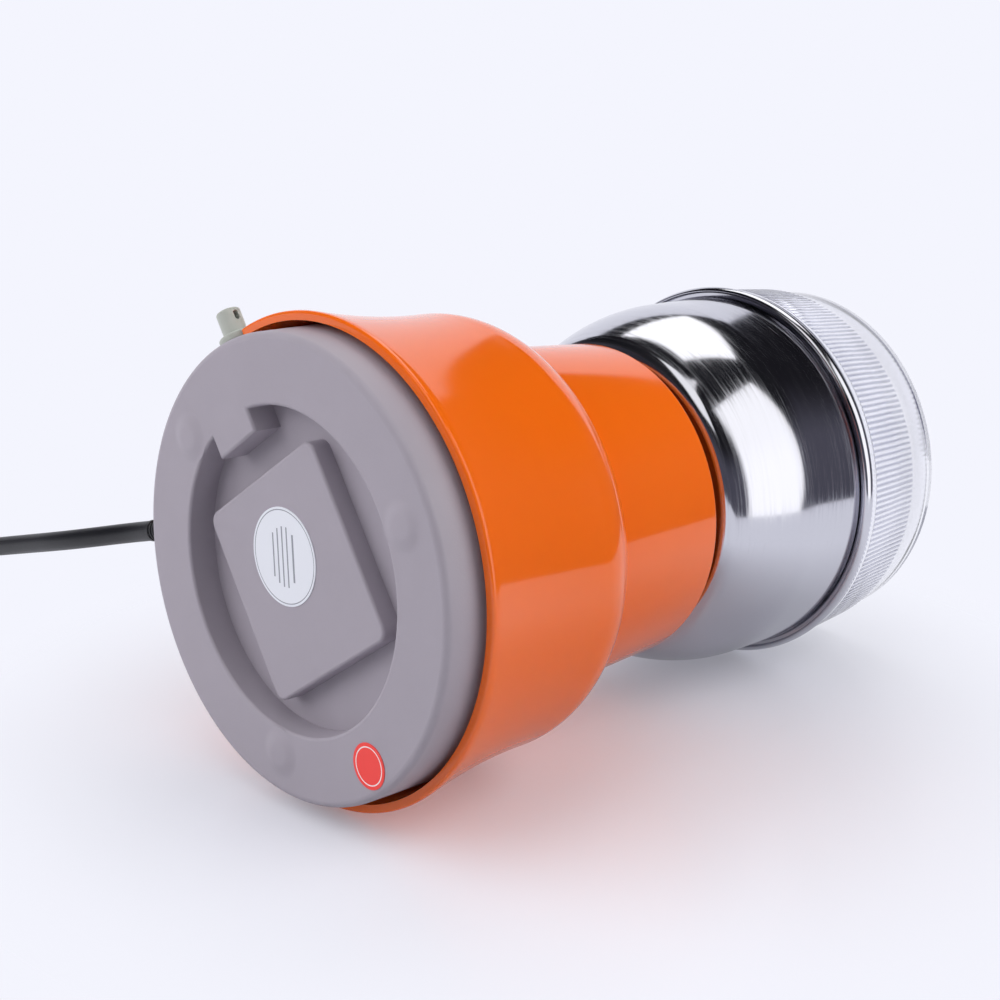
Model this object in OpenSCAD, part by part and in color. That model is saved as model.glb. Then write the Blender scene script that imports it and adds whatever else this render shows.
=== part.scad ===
// Electric blade coffee grinder, standing upright on its three feet.
// Millimetres. +Z runs up the axis, the feet stand on z = 0 and the push button faces -Y.

/* [Base] */
// Radius of the base cover's side wall
base_r = 50.8; // [50:0.1:52]
// Radius that rounds the base's bottom edge
base_edge_r = 1.5; // [1:0.25:2.5]
// Height of the base cover above its ring face
base_h = 15.4; // [15:0.1:15.6]
// Wall thickness of the base cover
base_wall = 2; // [1.7:0.1:2.3]
// Width of the ring face round the recess
ring_w = 15.3; // [15:0.1:16]
// Depth of the recess
recess_depth = 6.8; // [6.3:0.1:7.3]
// Width of the pad in the recess, across the button's line
pad_side = 43.6; // [38:0.2:46]
// Length of the pad along the button's line
pad_length = 44.6; // [38:0.2:46]
// Place of the pad's centre across the button's line
pad_x = -0.9; // [-2:0.1:2]
// Place of the pad's centre along the button's line
pad_y = 0.5; // [-1:0.1:1]
// Height of the pad above the recess's floor
pad_height = 4.5; // [3:0.25:5]
// Rounding of the pad's corners
pad_corner_r = 3; // [1:0.25:4]
// Width of the tab that covers the switch
tab_w = 15.2; // [14:0.2:17]
// Diameter of a foot pad
foot_d = 11; // [10:0.25:11]
// How far a foot pad stands proud of the ring face
foot_proud = 0.6; // [0.4:0.1:1]
// Depth of the socket that holds a foot pad
foot_seat = 1.2; // [0.8:0.1:1.5]
// Distance from the base's side wall to a foot's centre
foot_edge = 9.3; // [9:0.1:9.5]
// Direction of the first foot, in degrees
foot_angle = 8; // [0:1:15]
// Diameter of a base screw
base_screw_d = 3; // [2.5:0.1:3.5]
// Length of a base screw's shank
base_screw_l = 16; // [12:1:20]

/* [Labels] */
// Diameter of the round label on the pad
label_d = 21.6; // [18:0.2:24]
// Place of the label's centre across the pad
label_x = -1.6; // [-4:0.2:4]
// Place of the label's centre along the pad
label_y = -3.9; // [-5:0.2:5]
// Diameter of the round sticker on the ring face
sticker_d = 10; // [7:0.25:10]
// Direction of the sticker, in degrees
sticker_angle = 86; // [80:1:95]
// Thickness of the label and the sticker
label_t = 0.15; // [0.1:0.05:0.3]

/* [Housing] */
// Wall thickness of the housing
housing_wall = 2; // [1.6:0.1:2.4]
// Air gap between the base and the housing's rim
vent_gap = 1.5; // [1.3:0.1:1.8]
// Height of the rim's bottom edge
rim_z = 9.4; // [9:0.1:10]
// Height of the rim's widest band
rim_band_z = 10.6; // [10.3:0.1:12]
// How much wider the rim is than the body below the shoulder
rim_flare = 4.3; // [3.5:0.1:5]
// Height at which the shoulder starts
shoulder_z = 46.4; // [44:0.2:48]
// Rounding of the shoulder
shoulder_r = 14; // [13:0.25:15]
// Rounding of the crease between shoulder and neck
crease_r = 2.5; // [1.5:0.25:4]
// How much wider the neck is at the crease than at its top
neck_taper = 2.4; // [1:0.2:4]
// Width of the neck's top edge round the bowl
neck_edge_w = 1.1; // [1:0.1:2]
// How far the neck's top edge stands above the deck
neck_lip_h = 7.7; // [7:0.1:8.1]
// Thickness of the deck that carries bowl and motor
deck_t = 3.5; // [3:0.25:4.5]

/* [Bowl] */
// Outer radius of the bowl's upright wall
bowl_r = 45; // [44.5:0.25:46]
// Sheet thickness of the bowl
bowl_wall = 0.8; // [0.6:0.1:1]
// Radius of the curve that draws the bowl in
bowl_curve_r = 51.2; // [50:0.2:54]
// Height of the bowl's curved part
bowl_curve_h = 34.6; // [33:0.2:36]
// Height of the bowl's upright part, up to the middle of the lip
bowl_upright_h = 16.9; // [14:0.1:20]
// Radius of the rolled bead on the bowl's lip
lip_bead_r = 1.65; // [1.2:0.05:2]
// Thickness of the gasket under the bowl
gasket_t = 1.5; // [1:0.1:2]
// Radius of the gasket
gasket_r = 26; // [22:0.5:29]

/* [Lid] */
// Wall thickness of the lid
lid_wall = 2; // [1.6:0.1:2.4]
// How far the lid's flange stands out past the bowl's wall
lid_flange_w = 2; // [1.5:0.1:2.5]
// Thickness of the lid's flange
lid_flange_t = 2; // [1.5:0.1:3]
// How far the grip band stands back from the flange's edge
grip_step = 0.4; // [0.2:0.1:1]
// How much the grip band narrows towards its top
grip_taper = 1.5; // [0.5:0.1:2]
// Height of the grip band
grip_h = 18.05; // [12:0.05:20]
// How much the lid narrows from the grip band to its top edge
cap_taper = 1.7; // [1:0.1:2.5]
// Height of the lid above the grip band
cap_h = 10.5; // [7:0.1:14]
// Depth to which the lid's spigot enters the bowl
spigot_depth = 5; // [4:0.5:7]
// Radial play of the spigot in the bowl
spigot_play = 0.35; // [0.3:0.05:0.6]

/* [Button and switch] */
// Diameter of the push button
button_d = 5.5; // [5:0.1:6]
// Height of the button's axis
button_z = 10.9; // [10.5:0.1:11.2]
// How far the button stands out of its guide
button_out = 5.9; // [5:0.1:6.5]
// Travel of the button
button_travel = 3; // [2:0.25:3.5]
// Wall thickness of the guide's barrel
guide_wall = 0.9; // [0.7:0.1:1.1]
// Diameter of the guide's flange
guide_flange_d = 8.3; // [8:0.1:9]
// Thickness of the guide's flange
guide_flange_t = 1.7; // [1.2:0.1:2]
// Distance from the base's wall to the flange's outer face
guide_stand = 3.6; // [3.2:0.1:4]
// Length of the button's spring at rest
button_spring_l = 4.8; // [4.5:0.1:5.2]
// Length of the switch body along the button's axis
switch_l = 8.8; // [8:0.1:9]
// Height of the switch body
switch_h = 11; // [10.5:0.25:12]

/* [Blade and shaft] */
// Diameter of the motor shaft
shaft_d = 6; // [5:0.25:6.5]
// Clearance between the blade's tips and the bowl
blade_clear = 3.4; // [2.5:0.1:8]
// Width of the blade
blade_w = 9; // [7:0.5:11]
// Thickness of the blade
blade_t = 1.8; // [1.2:0.1:2.2]
// Height of the blade above the bowl's inner floor
blade_lift = 6.7; // [6:0.1:9]
// Upward bend of the blade's arms, in degrees
blade_bend = 15; // [5:1:20]
// Outer diameter of the bush through the bowl's floor
bush_d = 12; // [11:0.25:13]

/* [Motor] */
// Outer diameter of the stator
stator_d = 54; // [52:0.5:56]
// Height of the stator's stack
stack_h = 22; // [18:0.5:22]
// Gap between the base's floor and the motor shaft
floor_gap = 1.4; // [1:0.1:3]
// Radial thickness of the field coils
field_coil_w = 5.8; // [5:0.1:6.5]
// Air gap between rotor and stator
air_gap = 0.5; // [0.4:0.05:0.8]
// Height to which the windings stand out of the stack
winding_h = 6.5; // [5:0.25:6.5]
// Number of slots in the rotor
rotor_slots = 12; // [8:1:16]
// Diameter of the commutator
commutator_d = 18; // [16:0.5:20]
// Diameter of the cooling fan
fan_d = 39; // [34:0.5:41]
// Number of blades on the fan
fan_blades = 9; // [7:1:11]
// Gap between the motor's rubber mounts and the neck's wall
hanger_gap = 2.6; // [2:0.1:4]

/* [Cord] */
// Diameter of the mains cord
cord_d = 4.8; // [4.4:0.1:5]
// Direction in which the cord leaves, in degrees
cord_angle = -161; // [-165:1:-157]
// Sideways offset of the cord's line from the axis
cord_offset = 10.8; // [8:0.2:12]
// Gap under the gland's flange inside the base
gland_lift = 0.4; // [0.2:0.1:0.8]
// Diameter of the gland where it passes the base's wall
gland_d = 7.2; // [6.8:0.1:7.6]
// Radius of the coil's outermost turn, at the cord's middle
coil_out_r = 30.2; // [30:0.2:34]
// Gap between neighbouring turns and layers of the coil
coil_gap = 0.5; // [0.45:0.05:0.8]
// Width of the tie round the coil
tie_w = 6; // [4:0.5:8]
// Thickness of the tie
tie_t = 0.8; // [0.5:0.1:1.2]
// Width of the plug's body
plug_w = 27; // [26:0.5:30]
// Length of the plug's body
plug_l = 26; // [22:0.5:32]
// Length of the plug's pins
pin_l = 19; // [17:0.5:20]
// Distance between the pins
pin_pitch = 18.5; // [16:0.5:19]

/* [Hidden] */

$fn = 96;
// Overshoot of a cutting body past the face that it cuts
cut = 1;
// Clearances: a piece pressed or laid in its seat, a turning or sliding fit, a loose seat, a free passage
seat_gap = 0.05;
running_gap = 0.03;
laid_gap = 0.1;
free_gap = 0.5;
// Clearance of the bowl in the neck's mouth
bowl_gap = 0.6;
// Play between neighbouring pieces along the shaft
end_gap = 1;

// Heights and radii of the base
ring_z = foot_proud;
base_top_z = ring_z + base_h;
base_in_r = base_r - base_wall;
channel_z = ring_z + base_wall;
recess_r = base_r - ring_w;
recess_z = ring_z + recess_depth;
floor_z = recess_z + base_wall;
pad_face_z = recess_z - pad_height;
foot_r = foot_d / 2;
foot_flat_r = foot_r - 2;
foot_ring_r = base_r - foot_edge;
socket_top_z = ring_z + foot_seat;

// Base screws and the posts that they hold
screw_head_d = base_screw_d + 2.6;
screw_head_t = 2;
post_r = 4.6;
post_top_z = 9.5;
post_floor_t = 3;
screw_seat_z = post_top_z - post_floor_t;
boss_r = 4.2;
boss_h = 24.5;
boss_top_z = post_top_z + boss_h;
boss_web_t = 3;
boss_web_gap = 0.5;

// Motor, stacked up from the base's floor
shaft_r = shaft_d / 2;
shaft_bottom_z = floor_z + floor_gap;
bottom_bearing_r = 6;
bottom_bearing_h = 6;
bottom_bearing_z = shaft_bottom_z + end_gap;
bearing_drop = 2;
bottom_plate_t = 3;
bottom_plate_z = bottom_bearing_z + bearing_drop;
bottom_plate_top_z = bottom_plate_z + bottom_plate_t;
bottom_plate_r = stator_d / 2 + 1.5;
commutator_r = commutator_d / 2;
commutator_h = 7.5;
commutator_gap = 3;
commutator_z = bottom_plate_top_z + commutator_gap;
stack_z = commutator_z + commutator_h + end_gap + winding_h;
stack_top_z = stack_z + stack_h;
fan_r = fan_d / 2;
fan_disc_t = 1.2;
fan_blade_t = 1.2;
fan_h = 5.5;
fan_hub_r = shaft_r + 2.5;
fan_z = stack_top_z + winding_h + end_gap;
hub_r = 9;
hub_drop = 2;
top_hub_z = fan_z + fan_h + end_gap;
top_bearing_r = 6.5;
bracket_t = 2.5;
bracket_z = top_hub_z + hub_drop;
bracket_top_z = bracket_z + bracket_t;
hanger_boss_h = 3.5;
hanger_r = 4.5;
hanger_rubber_h = 5;
hanger_screw_r = 1.6;
hanger_head_r = 3;
hanger_head_t = 2.5;

// Deck, bowl and neck, on top of the motor
deck_z = bracket_top_z + hanger_rubber_h + hanger_boss_h;
deck_top_z = deck_z + deck_t;
bowl_floor_z = deck_top_z + gasket_t;
bowl_inner_floor_z = bowl_floor_z + bowl_wall;
bowl_equator_z = bowl_floor_z + bowl_curve_h;
lip_z = bowl_equator_z + bowl_upright_h;
neck_top_z = deck_top_z + neck_lip_h;
neck_top_r = bowl_radius(neck_top_z) + bowl_gap + neck_edge_w;
neck_low_r = neck_top_r + neck_taper;
neck_round_r = 0.9;
mount_ring_r = neck_top_r - housing_wall - hanger_gap - hanger_r;
bracket_r = mount_ring_r + hanger_r;

// Housing curve
rim_in_r = base_r + vent_gap;
rim_r = rim_in_r + housing_wall;
rim_round_r = 0.6;
body_r = rim_r - rim_flare;
flare_power = 1.9;
shoulder_centre_r = body_r - shoulder_r;
crease_centre_r = neck_low_r + crease_r;
crease_angle = acos((crease_centre_r - shoulder_centre_r) / (shoulder_r + crease_r));
crease_centre_z = shoulder_z + (shoulder_r + crease_r) * sin(crease_angle);

// Lid and lip
lip_centre_r = bowl_r - bowl_wall + lip_bead_r;
lip_top_z = lip_z + lip_bead_r;
lid_seat_z = lip_top_z + laid_gap;
spigot_r = bowl_r - bowl_wall - spigot_play;
lid_flange_r = bowl_r + lid_flange_w;
lid_edge_r = 1;
grip_low_z = lid_seat_z + lid_flange_t;
grip_low_r = lid_flange_r - grip_step;
grip_top_z = grip_low_z + grip_h;
grip_top_r = grip_low_r - grip_taper;
lid_top_z = grip_top_z + cap_h;
lid_top_r = grip_top_r - cap_taper;
grip_shoulder_h = 0.8;
grip_shoulder_w = 0.5;

// Button line, measured outwards from the axis along -Y
button_r = button_d / 2;
guide_r = button_r + guide_wall;
guide_flange_r = guide_flange_d / 2;
guide_face = base_r + guide_stand;
guide_flange_in = guide_face - guide_flange_t;
guide_in = base_in_r - 2;
button_tip = guide_face + button_out;
button_round_r = 0.5;
collar_t = 1.2;
collar_r = guide_r - 0.2;
collar_in = guide_in - collar_t;
switch_face = collar_in - button_spring_l;
switch_gap = 0.3;
switch_back_gap = 0.5;
tab_reach = switch_face - switch_l - switch_back_gap - base_wall;
switch_w = tab_w - 2 * base_wall - 2 * switch_gap;
switch_plunger_r = 1.4;
switch_plunger_in = 1.5;
switch_bore_l = switch_plunger_in + button_travel + free_gap;
spring_wire = 0.6;
spring_r = switch_plunger_r + free_gap;
cross_hole_d = 1.2;
cross_hole_in = 1.9;

// Blade, bush and seal on the shaft
blade_z = bowl_inner_floor_z + blade_lift;
blade_r = bowl_radius(blade_z) - bowl_wall - blade_clear;
shaft_collar_t = 1.5;
shaft_collar_r = shaft_r + 1.5;
shaft_thread_r = shaft_r - 0.5;
blade_flat_r = 12;
blade_nut_h = 5.5;
blade_nut_r = 5;
blade_thread_l = 4.5;
shaft_top_z = blade_z + blade_t + blade_thread_l;
bush_r = bush_d / 2;
bush_flange_r = bush_r + 4;
bush_flange_t = 2;
bush_bore_r = shaft_r + 0.3;
bush_nut_t = 4;
bush_nut_r = bush_r + 3.5;
bush_bottom_z = deck_z - bush_nut_t - end_gap;
top_hub_top_z = bush_bottom_z - end_gap;
seal_t = 2.5;
seal_r = shaft_r + 3.5;

// Windings, bolts and brushes of the motor
winding_gap = 0.2;
vent_hole_r = 4;
vent_ring_r = 17.5;
bolt_ring_r = stator_d / 2 - 2.4;
bolt_r = 1.5;
bolt_head_r = 2.6;
bolt_head_t = 2.4;
pillar_r = 2.2;
coil_clear = 1.3;
coil_outer_r = bolt_ring_r - bolt_r - coil_clear;
coil_in_r = coil_outer_r - field_coil_w;
coil_face_gap = 0.6;
stator_bore_r = coil_in_r - coil_face_gap;
rotor_r = stator_bore_r - air_gap;
window_half_angle = 40;
coil_half_angle = window_half_angle - 1.5;
coil_start_angle = 6;
rotor_winding_r = rotor_r - 1.4;
rotor_slot_w = 2;
rotor_slot_depth = 5;
brush_gap = 0.15;
brush_l = 10;
brush_w = 5;
brush_h = 6;
brush_in = commutator_r + brush_gap;
brush_z = commutator_z + (commutator_h - brush_h) / 2;
holder_in = commutator_r + 1.2;
holder_l = 15.5;
holder_wall = 1.2;
holder_end_t = 1.5;
brush_spring_l = holder_in + holder_l - holder_end_t - brush_in - brush_l;
brush_spring_r = 2.2;

// Cord fittings, along the cord's own line
cord_r = cord_d / 2;
gland_r = gland_d / 2;
gland_flange_t = 2;
gland_flange_r = gland_r + 0.8;
cord_exit_z = channel_z + gland_flange_r + gland_lift;
gland_wall_x = sqrt(pow(base_in_r, 2) - pow(cord_offset + gland_flange_r, 2));
gland_flange_x = gland_wall_x - laid_gap - gland_flange_t;
gland_taper_x = base_r + 1;
gland_taper_l = 8;
gland_tip_x = gland_taper_x + gland_taper_l;
gland_sleeve_r = gland_r - 0.4;
gland_tip_r = cord_r + 0.6;
clamp_l = 3.8;
clamp_gap = 1;
clamp_x = gland_flange_x - clamp_gap - clamp_l / 2;
gland_in_x = clamp_x - clamp_l / 2 - clamp_gap;
clamp_span = 6.4;
clamp_over = 2.4;
clamp_seat_z = cord_exit_z + 0.6;
clamp_top_z = clamp_seat_z + 4.2;
clamp_post_r = 2.2;
clamp_screw_r = 1.2;
clamp_screw_deep = 4;
clamp_head_r = 2;
clamp_head_t = 1.8;
saddle_w = 5;

// Coil of the cord that is put away
coil_rings = 24;
coil_turns = 4.25;
coil_inward_turns = 2;
coil_pitch = cord_d + coil_gap;
coil_x = 190;
// Side of the cord's line on which the coil and the plug lie
coil_side = -1;
coil_y = cord_offset + coil_side * coil_out_r;
tie_gap = 0.5;
table_gap = 0.1;
coil_low_z = table_gap + tie_t + tie_gap + cord_r;
coil_high_z = coil_low_z + coil_pitch;
climb_half = 0.25;

// Route of the cord from the gland to the coil: distance along its line, and height
cord_route = [
    [gland_tip_x, cord_exit_z], [64, cord_exit_z], [69, 7], [74, 6.1], [79, 5], [84, 4], [89, 3.2],
    [94, 2.7], [99, 2.5], [108, 2.5], [117, 2.5], [126, 2.5], [135, 2.5], [142, 2.5],
    [coil_x - 40, 2.5], [coil_x - 31, 2.6], [coil_x - 23, 2.9], [coil_x - 15, 3.4],
    [coil_x - 9, coil_low_z], [coil_x - cord_d, coil_low_z]
];
// Tail from the coil's end to the plug: distance on, and drop
tail_drop = 2;
tail_route = [[0, 0], [5, 0], [9, 0.2], [12, 0.7], [15, 1.3], [18, 1.8], [21, tail_drop], [26, tail_drop]];

// Plug
plug_t = 2 * (coil_high_z - tail_drop - table_gap);
plug_corner_r = 4;
plug_boot_l = 18;
plug_boot_r = 5;
plug_boot_tip_r = cord_r + 0.6;
pin_r = 2;
pin_tip_h = 1;

// Colours
orange = "#e8651c";
base_grey = "#a39ca8";
steel = "#c3c4cc";
dark_steel = "#83868c";
copper = "#b5713a";
brass = "#c9a650";
black = "#26262b";
rubber = "#3a3a3d";
white = "#e0e3ec";

// Points of an arc in a profile, radius and height
function arc(centre_r, centre_z, radius, from, to, steps) = [
    for (i = [0:steps])
        let (a = from + (to - from) * i / steps)
        [centre_r + radius * cos(a), centre_z + radius * sin(a)]
];

// A list in the opposite order
function flipped(list) = [for (i = [len(list) - 1:-1:0]) list[i]];

// Radius of the flared body between the rim and the shoulder
function body_radius(z) =
    body_r + (rim_r - body_r) * pow((shoulder_z - z) / (shoulder_z - rim_band_z), flare_power);

// Outer radius of the bowl's curved part at a height
function bowl_radius(z) =
    bowl_r - bowl_curve_r + sqrt(pow(bowl_curve_r, 2) - pow(bowl_equator_z - z, 2));

// Outer radius of the neck at a height
function neck_radius(z) =
    neck_low_r + (neck_top_r - neck_low_r) * (z - crease_centre_z) / (neck_top_z - crease_centre_z);

// Profile of the housing's side from the rim to the neck's top, moved inwards by a wall
function housing_side(inset) = concat(
    [for (i = [0:6]) let (z = rim_band_z + (shoulder_z - rim_band_z) * i / 7) [body_radius(z) - inset, z]],
    arc(shoulder_centre_r, shoulder_z, shoulder_r - inset, 0, crease_angle, 10),
    arc(crease_centre_r, crease_centre_z, crease_r + inset, 180 + crease_angle, 180, 5)
);

// Profile of the bowl's curve, moved outwards by a gap, from a height up to the equator
function bowl_curve(gap, from_z, steps) =
    arc(bowl_r - bowl_curve_r, bowl_equator_z, bowl_curve_r + gap,
        -asin((bowl_equator_z - from_z) / (bowl_curve_r + gap)), 0, steps);

module turned(profile) {
    rotate_extrude() polygon(profile);
}

// Copies of a shape on a circle
module ring_of(count, radius, start) {
    for (i = [0:count - 1])
        rotate([0, 0, start + 360 * i / count])
            translate([radius, 0, 0])
                children();
}

// A cylinder along the button's line, between two distances from the axis
module button_rod(from, to, radius) {
    translate([0, -from, button_z])
        rotate([90, 0, 0])
            cylinder(h = to - from, r = radius);
}

// A cylinder along the cord's line, in the cord's own frame
module cord_rod(from, to, r1, r2) {
    translate([from, cord_offset, cord_exit_z])
        rotate([0, 90, 0])
            cylinder(h = to - from, r1 = r1, r2 = r2);
}

module on_cord_line() {
    rotate([0, 0, cord_angle]) children();
}

// A square with rounded corners, centred
module round_square(size, radius) {
    square([size[0], size[1] - 2 * radius], center = true);
    square([size[0] - 2 * radius, size[1]], center = true);
    for (x = [-1, 1], y = [-1, 1])
        translate([x * (size[0] / 2 - radius), y * (size[1] / 2 - radius)])
            circle(radius);
}

function unit(v) = v / norm(v);
function along(path, i) = unit(path[min(i + 1, len(path) - 1)] - path[max(i - 1, 0)]);

// A tube swept along a path that never runs upright
module swept_tube(path, radius, sides) {
    last = len(path) - 1;
    points = [
        for (i = [0:last])
            let (d = along(path, i), s = unit(cross(d, [0, 0, 1])), u = cross(s, d))
            for (k = [0:sides - 1])
                path[i] + radius * (cos(360 * k / sides) * s + sin(360 * k / sides) * u)
    ];
    walls = [
        for (i = [0:last - 1])
            for (k = [0:sides - 1])
                let (a = i * sides + k, b = i * sides + (k + 1) % sides)
                for (face = [[a, b, b + sides], [a, b + sides, a + sides]])
                    face
    ];
    ends = [
        for (k = [1:sides - 2])
            for (face = [[0, k + 1, k], [last * sides, last * sides + k, last * sides + k + 1]])
                face
    ];
    polyhedron(points = points, faces = concat(walls, ends), convexity = 8);
}

module base_hollow() {
    deep = base_top_z + cut;
    difference() {
        translate([0, 0, channel_z]) cylinder(h = deep - channel_z, r = base_in_r);
        cylinder(h = floor_z, r = recess_r + base_wall);
    }
    translate([-tab_w / 2 + base_wall, -base_in_r + base_wall, channel_z])
        cube([tab_w - 2 * base_wall, base_in_r - 2 * base_wall - tab_reach, deep - channel_z]);
    translate([pad_x, pad_y, pad_face_z + base_wall])
        linear_extrude(deep - pad_face_z)
            round_square([pad_side - 2 * base_wall, pad_length - 2 * base_wall], pad_corner_r);
}

module base_recess() {
    difference() {
        translate([0, 0, ring_z - cut]) cylinder(h = recess_depth + cut, r = recess_r);
        translate([pad_x, pad_y, pad_face_z])
            linear_extrude(pad_height + cut)
                round_square([pad_side, pad_length], pad_corner_r);
        translate([-tab_w / 2, -recess_r - cut, ring_z])
            cube([tab_w, recess_r + cut - tab_reach, recess_depth + cut]);
    }
}

// Posts and saddle that hold the cord clamp
module clamp_posts() {
    for (side = [-1, 1])
        translate([clamp_x, cord_offset + side * clamp_span, channel_z - cut])
            cylinder(h = clamp_seat_z - channel_z + cut, r = clamp_post_r);
    translate([clamp_x - clamp_l / 2, cord_offset - saddle_w / 2, channel_z - cut])
        cube([clamp_l, saddle_w, cord_exit_z - gland_sleeve_r - seat_gap - channel_z + cut]);
}

module base_cover() {
    color(base_grey)
    difference() {
        union() {
            difference() {
                turned(concat(
                    [[0, ring_z]],
                    arc(base_r - base_edge_r, ring_z + base_edge_r, base_edge_r, -90, 0, 6),
                    [[base_r, base_top_z], [0, base_top_z]]
                ));
                base_hollow();
            }
            ring_of(3, foot_ring_r, foot_angle)
                translate([0, 0, ring_z + cut]) cylinder(h = post_top_z - ring_z - cut, r = post_r);
            on_cord_line() clamp_posts();
        }
        base_recess();
        ring_of(3, foot_ring_r, foot_angle) {
            translate([0, 0, ring_z - cut]) cylinder(h = foot_seat + cut, r = foot_r + seat_gap);
            translate([0, 0, ring_z]) cylinder(h = screw_seat_z - ring_z, r = screw_head_d / 2 + free_gap);
            translate([0, 0, ring_z]) cylinder(h = base_top_z, r = base_screw_d / 2 + laid_gap);
        }
        button_rod(base_in_r - base_wall, base_r + cut, guide_r + seat_gap);
        on_cord_line() {
            cord_rod(gland_flange_x + gland_flange_t, base_r + cut, gland_r + seat_gap, gland_r + seat_gap);
            for (side = [-1, 1])
                translate([clamp_x, cord_offset + side * clamp_span, clamp_seat_z - clamp_screw_deep - laid_gap])
                    cylinder(h = clamp_screw_deep + cut, r = clamp_screw_r + seat_gap);
        }
    }
}

module foot_pads() {
    color(base_grey)
    ring_of(3, foot_ring_r, foot_angle)
        turned(concat(
            [[0, 0]],
            [for (i = [0:5]) [foot_flat_r + (foot_r - foot_flat_r) * i / 5, foot_proud * pow(i / 5, 2)]],
            [[foot_r, socket_top_z], [0, socket_top_z]]
        ));
}

module base_screws() {
    color(dark_steel)
    ring_of(3, foot_ring_r, foot_angle) {
        translate([0, 0, screw_seat_z - screw_head_t]) cylinder(h = screw_head_t, d = screw_head_d);
        translate([0, 0, screw_seat_z]) cylinder(h = base_screw_l, d = base_screw_d);
    }
}

module rating_label() {
    color(white)
    translate([label_x, label_y, pad_face_z - label_t])
        cylinder(h = label_t, d = label_d);
}

module inspection_sticker() {
    color("#e14b4b")
    rotate([0, 0, sticker_angle])
        translate([base_r - base_edge_r - sticker_d / 2, 0, ring_z - label_t])
            cylinder(h = label_t, d = sticker_d);
}

module housing_bosses() {
    ring_of(3, foot_ring_r, foot_angle) {
        translate([0, 0, post_top_z]) cylinder(h = boss_top_z - post_top_z, r = boss_r);
        translate([0, -boss_web_t / 2, base_top_z + boss_web_gap])
            cube([
                body_radius(boss_top_z) - foot_ring_r - housing_wall / 2,
                boss_web_t,
                boss_top_z - base_top_z - boss_web_gap
            ]);
    }
}

module housing_shell() {
    color(orange)
    difference() {
        union() {
            turned(concat(
                [[rim_in_r, rim_z]],
                arc(rim_r - rim_round_r, rim_z + rim_round_r, rim_round_r, -90, 0, 4),
                housing_side(0),
                arc(neck_top_r - neck_round_r, neck_top_z - neck_round_r, neck_round_r, 0, 90, 5),
                [[neck_top_r - housing_wall, neck_top_z]],
                flipped(housing_side(housing_wall))
            ));
            translate([0, 0, deck_z]) cylinder(h = deck_t, r = neck_radius(deck_top_z) - housing_wall / 2);
            ring_of(3, mount_ring_r, 0)
                translate([0, 0, deck_z - hanger_boss_h]) cylinder(h = hanger_boss_h + cut, r = hanger_r);
            housing_bosses();
        }
        turned(concat([[0, deck_top_z]], bowl_curve(bowl_gap, deck_top_z, 12), [[0, bowl_equator_z]]));
        translate([0, 0, deck_z - cut]) cylinder(h = deck_t + 2 * cut, r = bush_r + laid_gap);
        ring_of(3, mount_ring_r, 0)
            translate([0, 0, deck_z - hanger_boss_h - cut])
                cylinder(h = hanger_boss_h + deck_t / 2 + cut, r = hanger_screw_r + seat_gap);
        ring_of(3, foot_ring_r, foot_angle)
            translate([0, 0, post_top_z - cut])
                cylinder(h = base_screw_l + cut, r = base_screw_d / 2 + seat_gap);
        button_rod(base_r, rim_r + cut, guide_flange_r + free_gap);
        on_cord_line() cord_rod(sqrt(pow(base_r, 2) - pow(cord_offset, 2)) - base_wall, rim_r + cut,
            gland_r + free_gap, gland_r + free_gap);
    }
}

module button_guide() {
    color("#8f9290")
    difference() {
        union() {
            button_rod(guide_in, guide_face, guide_r);
            button_rod(guide_flange_in, guide_face, guide_flange_r);
        }
        button_rod(guide_in - cut, guide_face + cut, button_r + running_gap);
    }
}

module button_plunger() {
    color("#a5a8a2")
    difference() {
        union() {
            translate([0, 0, button_z])
                rotate([90, 0, 0])
                    turned(concat(
                        [[0, guide_in], [button_r, guide_in]],
                        arc(button_r - button_round_r, button_tip - button_round_r, button_round_r, 0, 90, 4),
                        [[0, button_tip]]
                    ));
            button_rod(collar_in, guide_in, collar_r);
        }
        translate([0, -button_tip + cross_hole_in, button_z])
            rotate([0, 90, 0])
                cylinder(h = button_d + cut, d = cross_hole_d, center = true);
    }
}

module button_spring() {
    color(steel)
    difference() {
        button_rod(switch_face, collar_in, spring_r + spring_wire);
        button_rod(switch_face - cut, collar_in + cut, spring_r);
    }
}

module switch_body() {
    color(black)
    difference() {
        translate([-switch_w / 2, -switch_face, channel_z])
            cube([switch_w, switch_l, switch_h]);
        button_rod(switch_face - switch_bore_l, switch_face + cut, switch_plunger_r + running_gap);
    }
}

module switch_plunger() {
    color("#c23a34") button_rod(switch_face - switch_plunger_in, collar_in, switch_plunger_r);
}

module grinding_bowl() {
    outer = bowl_curve(0, bowl_floor_z, 14);
    inner = bowl_curve(-bowl_wall, bowl_inner_floor_z, 14);
    color(steel)
    turned(concat(
        [[bush_r + laid_gap, bowl_floor_z]],
        outer,
        [[bowl_r, lip_z - sqrt(pow(lip_bead_r, 2) - pow(bowl_r - lip_centre_r, 2))]],
        arc(lip_centre_r, lip_z, lip_bead_r, -asin(sqrt(1 - pow((bowl_r - lip_centre_r) / lip_bead_r, 2))), 180, 14),
        flipped(inner),
        [[bush_r + laid_gap, bowl_inner_floor_z]]
    ));
}

module bowl_gasket() {
    color(rubber)
    translate([0, 0, deck_top_z])
        difference() {
            cylinder(h = gasket_t, r = gasket_r);
            translate([0, 0, -cut]) cylinder(h = gasket_t + 2 * cut, r = bush_r + laid_gap);
        }
}

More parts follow.
